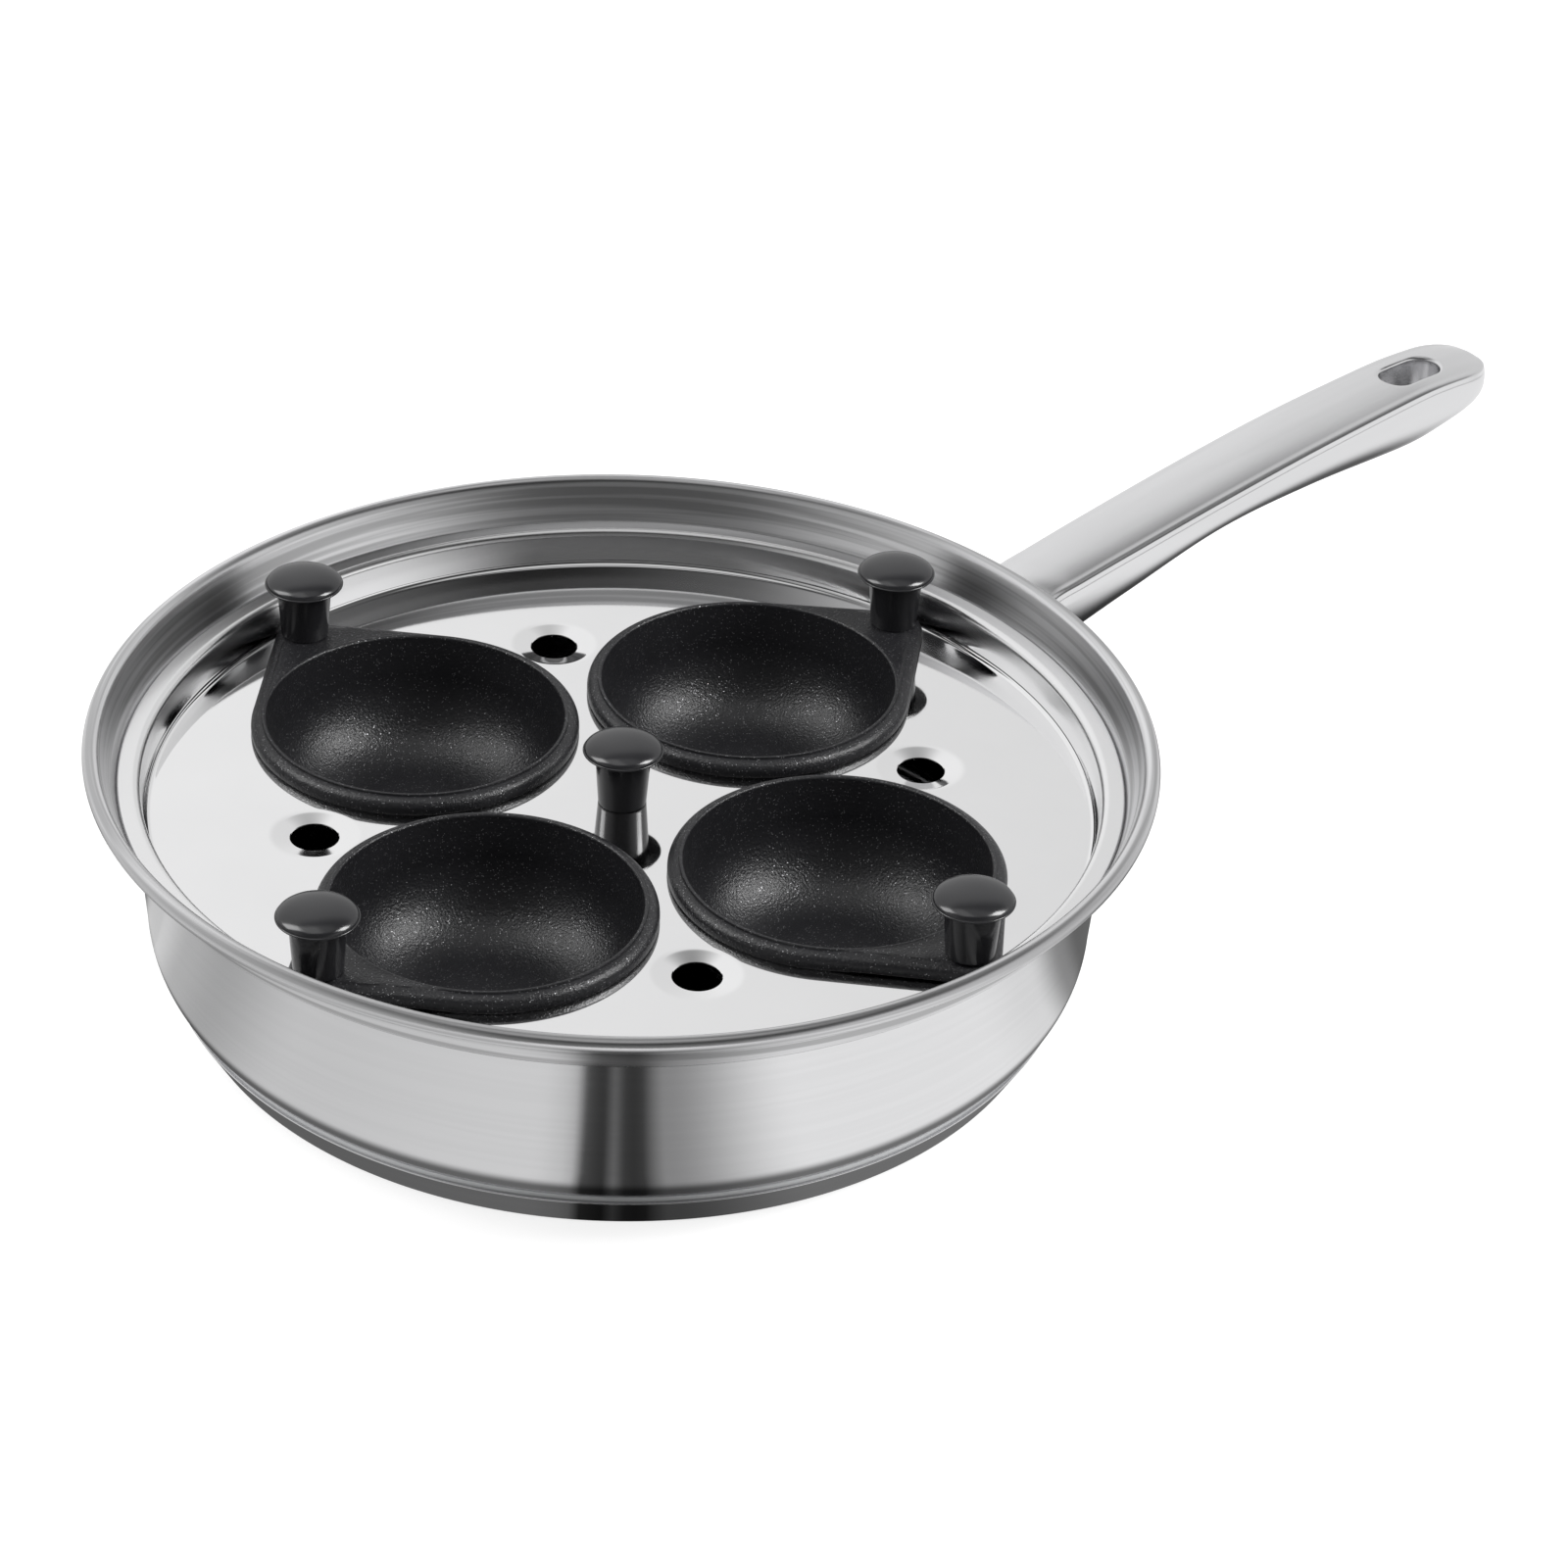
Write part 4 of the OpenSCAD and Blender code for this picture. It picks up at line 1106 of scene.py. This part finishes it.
class CupForm:
    """One egg cup about its own centre, with its tab along X."""

    low = 1.3  # height of the rim's outer edge
    shoulder = 2.3  # width of its rounded shoulder
    dip = 0.42  # depth of the rim's slight hollow below the ridge
    ridge = 0.6  # radius of the ridge round the mouth

    def __init__(self, cups):
        for key in CupSizes.__annotations__:
            if key not in ("phase", "tab_turn"):
                setattr(self, key, mm(getattr(cups, key)))
        self.out_r = self.mouth_r + self.rim_w
        self.top = self.rim_h - 0.1
        self.bowl_r = self.mouth_r - 0.4
        self.bowl_c = (self.bowl_r - 0.6 - self.corner, self.rim_h - self.depth + self.corner)
        self.tangent = math.acos((self.out_r - self.tab_r) / self.tab_reach)
        self.meet = math.atan2(self.tab_r * math.sin(self.tangent),
                               self.tab_reach + self.tab_r * math.cos(self.tangent))

    def outline_r(self, angle):
        """Distance from the centre to the cup's outline."""
        a = abs(math.remainder(angle, 2 * math.pi))
        if a >= self.tangent:
            return self.out_r
        if a >= self.meet:
            return self.out_r / math.cos(a - self.tangent)
        reach = self.tab_reach
        return reach * math.cos(a) + math.sqrt(self.tab_r ** 2 - (reach * math.sin(a)) ** 2)

    def inset(self, x, y):
        """Distance inwards from the outline."""
        y = abs(y)
        along = -math.sin(self.tangent) * x + math.cos(self.tangent) * y
        if along > 0:
            return self.out_r - math.hypot(x, y)
        if along < -self.tab_reach * math.sin(self.tangent):
            return self.tab_r - math.hypot(x - self.tab_reach, y)
        return self.out_r - math.cos(self.tangent) * x - math.sin(self.tangent) * y

    def rim_z(self, d):
        """Height of the sloping rim and of the tab at a distance from the outline."""
        if d < self.shoulder:
            rise = math.sqrt(1 - (1 - max(0.0, d) / self.shoulder) ** 2)
            return self.low + (self.top - self.dip - self.low) * rise
        run = (d - self.shoulder) / (self.rim_w - 0.1 - self.shoulder)
        return self.top - self.dip + self.dip * min(1.0, run) ** 2

    def mesh(self):
        """The cup's closed mesh, with the recess for its screw."""
        build = Builder()
        sides = 220
        even = [2 * math.pi * k / sides for k in range(sides)]
        angles = [a - 0.62 * math.sin(a) for a in even]  # closer together at the tab
        bowl = supported([(0, self.bowl_c[1] - self.corner)]
                         + arc(self.bowl_c, self.corner, -90, 0, 26)
                         + [(self.bowl_r, self.rim_h - 0.75)])
        bowl += arc((self.bowl_r + self.ridge, self.rim_h - self.ridge), self.ridge, 180, 62, 10)
        rings = build.rings(bowl, angles)
        start = bowl[-1][0] + 0.1
        inner = (0.0, 0.3, 0.6, 0.85)
        outer = (1.0, 0.92, 0.82, 0.72, 0.62, 0.52, 0.43, 0.34, 0.26, 0.19, 0.13, 0.08, 0.04,
                 0.015, 0.0)
        steps = [(True, share) for share in inner] + [(False, share) for share in outer]
        for is_inner, share in steps:
            line = []
            for a in angles:
                rho = self.outline_r(a)
                band = min(self.rim_w + 0.4, 0.8 * (rho - start))
                r = start + (rho - start - band) * share if is_inner else rho - band * share
                x, y = r * math.cos(a), r * math.sin(a)
                line.append((x, y, self.rim_z(self.inset(x, y))))
            rings.append(build.ring(line))
        under = []
        seat = self.out_r - 0.35
        for a in angles:
            rho = self.outline_r(a)
            q = min(1.0, max(0.0, (rho - self.out_r) / 0.8))
            under.append([(r * math.cos(a), r * math.sin(a), z) for r, z in (
                (rho, 0.8), (rho - 0.05 - 0.05 * q, 0.3 + 0.25 * q), (rho - 0.3, 0.4 * q),
                (seat + 0.02 + 0.35 * q, 0.4 * q), (seat, 0.0), (seat - 1.15, 0.0),
                (seat - 1.45, 0.3), (self.bowl_r + self.wall, 0.3))])
        rings += [build.ring(line) for line in zip(*under)]
        back = arc(self.bowl_c, self.corner + self.wall, 0, -90, 26)
        back.append((0, self.bowl_c[1] - self.corner - self.wall))
        rings += build.rings(supported(back), angles)
        build.join_all(rings)
        bore = Builder()
        bore.turned([(0, -2), (HEAD_R, -2), (HEAD_R, self.top - 1.3),
                     (SCREW_HOLE_R, self.top - 1.3), (SCREW_HOLE_R, self.top + 2),
                     (0, self.top + 2)], 48)
        cutter = finished(bore.mesh("bore"))
        cutter.transform(Matrix.Translation((self.tab_reach * MM, 0, 0)))
        return cut(finished(build.mesh("cup"), 38), cutter)


def cut(body, cutter):
    """A mesh with another taken out of it."""
    tool, obj = placed("cutter", cutter), placed("body", body)
    modifier = obj.modifiers.new("Cut", "BOOLEAN")
    modifier.operation = "DIFFERENCE"
    modifier.solver = "EXACT"
    modifier.object = tool
    mesh = baked(obj, modifier)
    bpy.data.objects.remove(tool)
    return mesh


class POACHER_OT_cups(bpy.types.Operator):
    """Build the four coated egg cups"""

    bl_idname = "poacher.cups"
    bl_label = "Egg Cups"

    def execute(self, context):
        scene = context.scene
        cups, tray, finish = scene.poacher_cups, scene.poacher_tray, scene.poacher_finish
        coating = speckled_coating("Speckled Coating", finish.coating, finish.flake)
        drawing = CupForm(cups).mesh()
        height = tray_levels(scene)[1] * MM
        for k in range(tray.count):
            name = f"cup_shell_{k + 1}"
            mesh = copied(drawing, name, coating, tray.count, cups.ring, cups.phase, height,
                          cups.tab_turn, k)
            piece(name, finished(mesh, 38), coating, f"cup_{k + 1}", "coated_aluminium",
                  f"egg_cup_{k + 1}")
        return {"FINISHED"}


def knob_outline(knobs):
    """Section of a knob from the face it stands on, with a pocket for its insert."""
    cap_r, height = mm(knobs.cap_r), mm(knobs.height)
    foot_r, neck_r, dome = mm(knobs.foot_r), mm(knobs.neck_r), mm(knobs.dome)
    pocket_r, pocket_h = mm(knobs.insert_r), mm(knobs.insert_h) + 0.4
    foot_fillet, lip_h, lip_r = 0.3, 0.5, 0.22
    edge = height - dome
    low = edge - lip_h
    dome_r = cap_r - 0.3
    stem = [(foot_r + (neck_r - foot_r) * t, foot_fillet + (low - 0.5) * t)
            for t in (0.03, 0.5, 0.98)]
    under = [(neck_r, low - 0.06), (neck_r + 0.35, low - 0.02), (cap_r - 0.35, low)]
    lip = arc((cap_r - lip_r, low + lip_r), lip_r, -90, 80, 8)
    domed = [(dome_r * math.cos(math.radians(a)) ** 0.94, edge + dome * math.sin(math.radians(a)))
             for a in np.linspace(3, 90, 30)]
    domed[-1] = (0, height)
    flat_r = foot_r - foot_fillet
    return ([(pocket_r, 0), (flat_r, 0)]
            + arc((flat_r, foot_fillet), foot_fillet, -90, 0, 4)[1:]
            + stem + under + lip + [(dome_r + 0.02, edge - 0.04)] + domed
            + [(0, pocket_h), (pocket_r, pocket_h)])


class POACHER_OT_knobs(bpy.types.Operator):
    """Build the centre knob and the four cup knobs"""

    bl_idname = "poacher.knobs"
    bl_label = "Knobs"

    def execute(self, context):
        scene = context.scene
        cups, tray = scene.poacher_cups, scene.poacher_tray
        phenolic = moulded_knob("Knob Phenolic", scene.poacher_finish.knob)
        outline = knob_outline(scene.poacher_knobs)
        floor = tray_levels(scene)[1]
        mesh = self.turned_knob("knob_centre", [(r, z + floor) for r, z in outline])
        piece("knob_centre", finished(mesh, 50), phenolic, "tray", "knob_phenolic",
              "centre_knob")
        drawing = self.turned_knob("knob", outline)
        drawing.transform(Matrix.Translation((cups.tab_reach, 0, 0)))
        height = (floor + mm(cups.rim_h) - 0.1) * MM
        for k in range(tray.count):
            name = f"knob_cup_{k + 1}"
            mesh = copied(drawing, name, phenolic, tray.count, cups.ring, cups.phase, height,
                          cups.tab_turn, k)
            piece(name, finished(mesh, 50), phenolic, f"cup_{k + 1}", "knob_phenolic",
                  f"cup_knob_{k + 1}")
        return {"FINISHED"}

    def turned_knob(self, name, outline):
        """A knob's mesh, with its pocket's wall joined to the foot."""
        build = Builder()
        build.turned(outline, KNOB_SIDES)
        mesh = build.mesh(name)
        bm = bmesh.new()
        bm.from_mesh(mesh)
        rim = [e for e in bm.edges if e.is_boundary]
        bmesh.ops.bridge_loops(bm, edges=rim)
        bm.to_mesh(mesh)
        bm.free()
        return mesh


class POACHER_OT_fasteners(bpy.types.Operator):
    """Finish the screws, the washer and the threaded inserts"""

    bl_idname = "poacher.fasteners"
    bl_label = "Fasteners"

    def execute(self, context):
        steel = turned_metal("Fastener Steel", (0.60, 0.60, 0.62), 0.22)
        brass = turned_metal("Insert Brass", (0.78, 0.62, 0.32), 0.24)
        for name, obj in frame["nodes"].items():
            if "screw" in name or "washer" in name or "insert" in name:
                obj.data.materials.clear()
                obj.data.materials.append(brass if "insert" in name else steel)
        return {"FINISHED"}


VIEW_TURN = math.radians(-40)  # the viewer's right, as a direction round the pan's axis
# Azimuth, elevation, distance, width and height of the panels, as the viewer sees them
PANELS = (("panel_right", "key", -4, 44, 1.1, 0.40, 0.58),
          ("panel_left", "fill", 176, 46, 1.1, 0.44, 0.75),
          ("panel_above", "top", 200, 76, 1.2, 0.8, 0.6))
PAINTED_HANDLE_SHADOW = (0.19, 0.07)  # middle and half length of the painted shadow under the handle, on the floor that the steel mirrors
# Azimuth and tone of the painted reflections that the floor shows to glossy rays round the pan
PAINTED_REFLECTION_TONES = ((-179, 0.68), (-170, 0.50), (-160, 0.44), (-140, 0.66), (-101, 0.74), (-96.2, 0.62),
         (-94, 0.06), (-90.6, 0.03), (-89.9, 0.16), (-89.2, 0.16), (-88.4, 0.03), (-85.6, 0.05),
         (-83.2, 0.28), (-62, 0.92), (-30, 0.92), (-15, 0.80), (-5, 0.28), (2, 0.14), (20, 0.14),
         (60, 0.5), (120, 0.5), (150, 0.3), (160, 0.12), (168, 0.12), (174, 0.62))


def viewed(tree, vector):
    """The parts of a vector by the viewer's own directions: X is to the right, Y is away."""
    turned = node(tree, "ShaderNodeVectorRotate", {"Vector": vector, "Angle": -VIEW_TURN},
                  rotation_type="Z_AXIS")
    return parts(tree, turned.outputs[0])


class POACHER_OT_stage(bpy.types.Operator):
    """Set the floor, the light and the camera"""

    bl_idname = "poacher.stage"
    bl_label = "Stage"

    def floor(self, colour):
        """A pale floor that keeps the shadow and fades into the white background, and that glows
        with painted reflections for glossy rays.
        """
        mesh = bpy.data.meshes.new("studio_floor")
        half = 3.0
        mesh.from_pydata([(-half, -half, 0), (half, -half, 0), (half, half, 0), (-half, half, 0)],
                         [], [(0, 1, 2, 3)])
        obj = placed("studio_floor", mesh)
        obj.location.z = -0.0002
        material = bpy.data.materials.new("Studio Floor")
        material.use_nodes = True
        tree = material.node_tree
        tree.nodes.clear()
        place = node(tree, "ShaderNodeTexCoord").outputs["Object"]
        paper = shaded(tree, noise(tree, place, 3.0), colour, 0.985)
        path = node(tree, "ShaderNodeLightPath").outputs
        camera_ray, glossy_ray = path["Is Camera Ray"], path["Is Glossy Ray"]
        seen_paper = mixed(tree, camera_ray, paper, (0.30, 0.30, 0.30, 1))
        diffuse = node(tree, "ShaderNodeBsdfDiffuse", {0: seen_paper}).outputs[0]
        x, y, _ = parts(tree, place)
        far = length_of(tree, x, y)
        glow = calc(tree, "MULTIPLY", camera_ray, 0.80)
        # glossy rays see the floor only as this glow of painted reflections, not as lit floor
        painted_reflection = calc(tree, "MULTIPLY", glossy_ray, self.painted_reflections(tree, place, x, y, far))
        glow_and_painted_reflection = calc(tree, "ADD", glow, painted_reflection)
        light = node(tree, "ShaderNodeEmission", {0: WHITE, 1: glow_and_painted_reflection}).outputs[0]
        lit = node(tree, "ShaderNodeAddShader", {0: diffuse, 1: light}).outputs[0]
        near = node(tree, "ShaderNodeMixShader", {0: glossy_ray, 1: lit, 2: light}).outputs[0]
        fade = calc(tree, "MULTIPLY", ramp(tree, far, 0.45, 1.1), camera_ray)
        white = node(tree, "ShaderNodeEmission", {0: WHITE, 1: 1.0}).outputs[0]
        both = node(tree, "ShaderNodeMixShader", {0: fade, 1: near, 2: white}).outputs[0]
        node(tree, "ShaderNodeOutputMaterial", {0: both})
        mesh.materials.append(material)

    def painted_reflections(self, tree, place, x, y, far):
        """Painted reflections that polished steel sees on the floor: light and dark tones round the
        pan, painted shade near the base and a painted shadow under the handle.
        """
        view_x, view_y, _ = viewed(tree, place)
        angle = calc(tree, "ARCTAN2", view_y, view_x)
        share_round = calc(tree, "MULTIPLY_ADD", angle, 0.5 / math.pi, 0.5)
        painted_reflections = node(tree, "ShaderNodeValToRGB", {0: share_round})
        stops = painted_reflections.color_ramp
        stops.interpolation = "EASE"
        while len(stops.elements) > 1:
            stops.elements.remove(stops.elements[-1])
        for i, (degrees, tone) in enumerate(PAINTED_REFLECTION_TONES):
            at = (degrees + 180) / 360
            stop = stops.elements.new(at) if i else stops.elements[0]
            stop.position = at
            stop.color = (tone, tone, tone, 1)
        # painted shade: the floor that the steel mirrors darkens towards the pan's base
        near = ramp(tree, far, 0.0995, 0.109, 0.20, 1.0)
        # painted shadow: the floor that the steel mirrors darkens under the handle
        off_middle = calc(tree, "ABSOLUTE", calc(tree, "SUBTRACT", x, PAINTED_HANDLE_SHADOW[0]))
        beyond = calc(tree, "MAXIMUM", calc(tree, "SUBTRACT", off_middle, PAINTED_HANDLE_SHADOW[1]), 0.0)
        under = ramp(tree, length_of(tree, beyond, y), 0.012, 0.060, 0.10, 1.0)
        open_floor = mixed(tree, ramp(tree, far, 0.165, 0.21), painted_reflections.outputs[0], WHITE)
        return calc(tree, "MULTIPLY", calc(tree, "MULTIPLY", open_floor, near), under)

    def world(self, ambient):
        """White for the camera, and a soft studio for what the steel mirrors."""
        world = bpy.data.worlds.new("Studio")
        bpy.context.scene.world = world
        world.use_nodes = True
        tree = world.node_tree
        tree.nodes.clear()
        way = node(tree, "ShaderNodeTexCoord").outputs["Generated"]
        x, y, z = viewed(tree, way)
        back = ramp(tree, x, -0.16, 0.16, 0.94, 0.78)
        right = ramp(tree, x, 0.35, 0.93, 0.13, 1.0)
        left = ramp(tree, x, -0.35, -0.90, 0.0, 0.55)
        front = calc(tree, "ADD", right, left)
        behind = ramp(tree, y, -0.16, 0.3)
        level = calc(tree, "MULTIPLY_ADD", calc(tree, "SUBTRACT", back, front), behind, front)
        above = calc(tree, "MULTIPLY_ADD", x, 0.25, calc(tree, "MULTIPLY_ADD", y, -0.12, z))
        over = ramp(tree, above, 0.64, 0.84, 1.0, 0.16)
        zenith = ramp(tree, z, 0.88, 0.96, 0.0, 0.62)
        studio = calc(tree, "MAXIMUM", calc(tree, "MULTIPLY", level, over), zenith)
        path = node(tree, "ShaderNodeLightPath").outputs
        open_ray = calc(tree, "MAXIMUM", path["Is Camera Ray"], path["Is Transmission Ray"])
        glossy = calc(tree, "MULTIPLY", path["Is Glossy Ray"], studio)
        other = calc(tree, "SUBTRACT", 1.0, calc(tree, "MAXIMUM", open_ray, path["Is Glossy Ray"]))
        soft = calc(tree, "MULTIPLY", other, ambient)
        strength = calc(tree, "ADD", open_ray, calc(tree, "ADD", glossy, soft))
        shade = node(tree, "ShaderNodeBackground", {0: WHITE, 1: strength}).outputs[0]
        node(tree, "ShaderNodeOutputWorld", {0: shade})

    def panel_light(self, name, brightness, lit, azimuth, elevation, distance, wide, tall):
        """A soft panel that faces the pan, placed by the viewer's own directions."""
        light = bpy.data.lights.new(name, "AREA")
        light.shape = "RECTANGLE"
        light.size = wide
        light.size_y = tall
        light.energy = brightness * math.pi * wide * tall
        obj = placed(name, light)
        a, e = math.radians(azimuth) + VIEW_TURN, math.radians(elevation)
        obj.location = (distance * math.cos(e) * math.cos(a),
                        distance * math.cos(e) * math.sin(a), distance * math.sin(e))
        aim = Vector((0, 0, 0.03)) - obj.location
        obj.rotation_euler = aim.to_track_quat("-Z", "Y").to_euler()
        obj.light_linking.receiver_collection = lit

    def camera(self):
        """The photograph's viewpoint, from a camera fitted to the rim, base and holes."""
        yaw, pitch, roll = (math.radians(a) for a in (2.166, 32.36, 2.542))
        ahead = Vector((math.sin(yaw) * math.cos(pitch), math.cos(yaw) * math.cos(pitch),
                        -math.sin(pitch)))
        right = Vector((math.cos(yaw), -math.sin(yaw), 0))
        up = right.cross(ahead)
        across = right * math.cos(roll) + up * math.sin(roll)
        above = up * math.cos(roll) - right * math.sin(roll)
        spin = Matrix.Rotation(VIEW_TURN, 4, "Z")
        axes = Matrix((across, above, -ahead)).transposed().to_4x4()
        lens = bpy.data.cameras.new("camera")
        lens.sensor_width = 36.0
        lens.lens = 116.03
        lens.clip_start = 0.01
        obj = placed("camera", lens)
        obj.matrix_world = spin @ Matrix.Translation((0, -0.91119, 0.62491)) @ axes
        bpy.context.scene.camera = obj

    def execute(self, context):
        scene = context.scene
        studio = scene.poacher_studio
        scene.view_settings.view_transform = "Standard"
        self.floor(studio.floor)
        self.world(studio.ambient)
        lit = bpy.data.collections.new("Lit by the panels")
        for obj in scene.objects:
            if obj.name.startswith(("cup_shell", "knob", "studio")):
                lit.objects.link(obj)
        for name, key, *place in PANELS:
            self.panel_light(name, getattr(studio, key), lit, *place)
        self.camera()
        return {"FINISHED"}


class POACHER_PT_panel(bpy.types.Panel):
    """Sizes, finishes and the steps that build the pan"""

    bl_label = "Egg Poacher Pan"
    bl_idname = "POACHER_PT_panel"
    bl_space_type = "VIEW_3D"
    bl_region_type = "UI"
    bl_category = "Poacher"

    def draw(self, context):
        for operator, groups in STEPS:
            box = self.layout.box()
            box.operator(operator.bl_idname)
            for key, group in groups:
                settings = getattr(context.scene, key)
                for name in group.__annotations__:
                    box.prop(settings, name)


GROUPS = (("poacher_pan", PanSizes), ("poacher_handle", HandleSizes), ("poacher_tray", TraySizes),
          ("poacher_cups", CupSizes), ("poacher_knobs", KnobSizes), ("poacher_finish", Finishes),
          ("poacher_studio", Studio))
STEPS = ((POACHER_OT_body, GROUPS[0:1]), (POACHER_OT_base, ()), (POACHER_OT_handle, GROUPS[1:2]),
         (POACHER_OT_tray, GROUPS[2:3]), (POACHER_OT_cups, GROUPS[3:4]),
         (POACHER_OT_knobs, GROUPS[4:5]), (POACHER_OT_fasteners, GROUPS[5:6]),
         (POACHER_OT_stage, GROUPS[6:7]))


def register():
    """Register the groups, the operators and the panel."""
    for key, group in GROUPS:
        bpy.utils.register_class(group)
        setattr(bpy.types.Scene, key, PointerProperty(type=group))
    for operator, _ in STEPS:
        bpy.utils.register_class(operator)
    bpy.utils.register_class(POACHER_PT_panel)


def unregister():
    """Take back what register has added."""
    bpy.utils.unregister_class(POACHER_PT_panel)
    for operator, _ in reversed(STEPS):
        bpy.utils.unregister_class(operator)
    for key, group in reversed(GROUPS):
        delattr(bpy.types.Scene, key)
        bpy.utils.unregister_class(group)


def main():
    """Build the pieces and the stage."""
    register()
    bpy.ops.poacher.body()
    bpy.ops.poacher.base()
    bpy.ops.poacher.handle()
    bpy.ops.poacher.tray()
    bpy.ops.poacher.cups()
    bpy.ops.poacher.knobs()
    bpy.ops.poacher.fasteners()
    bpy.ops.poacher.stage()


if __name__ == "__main__":
    main()
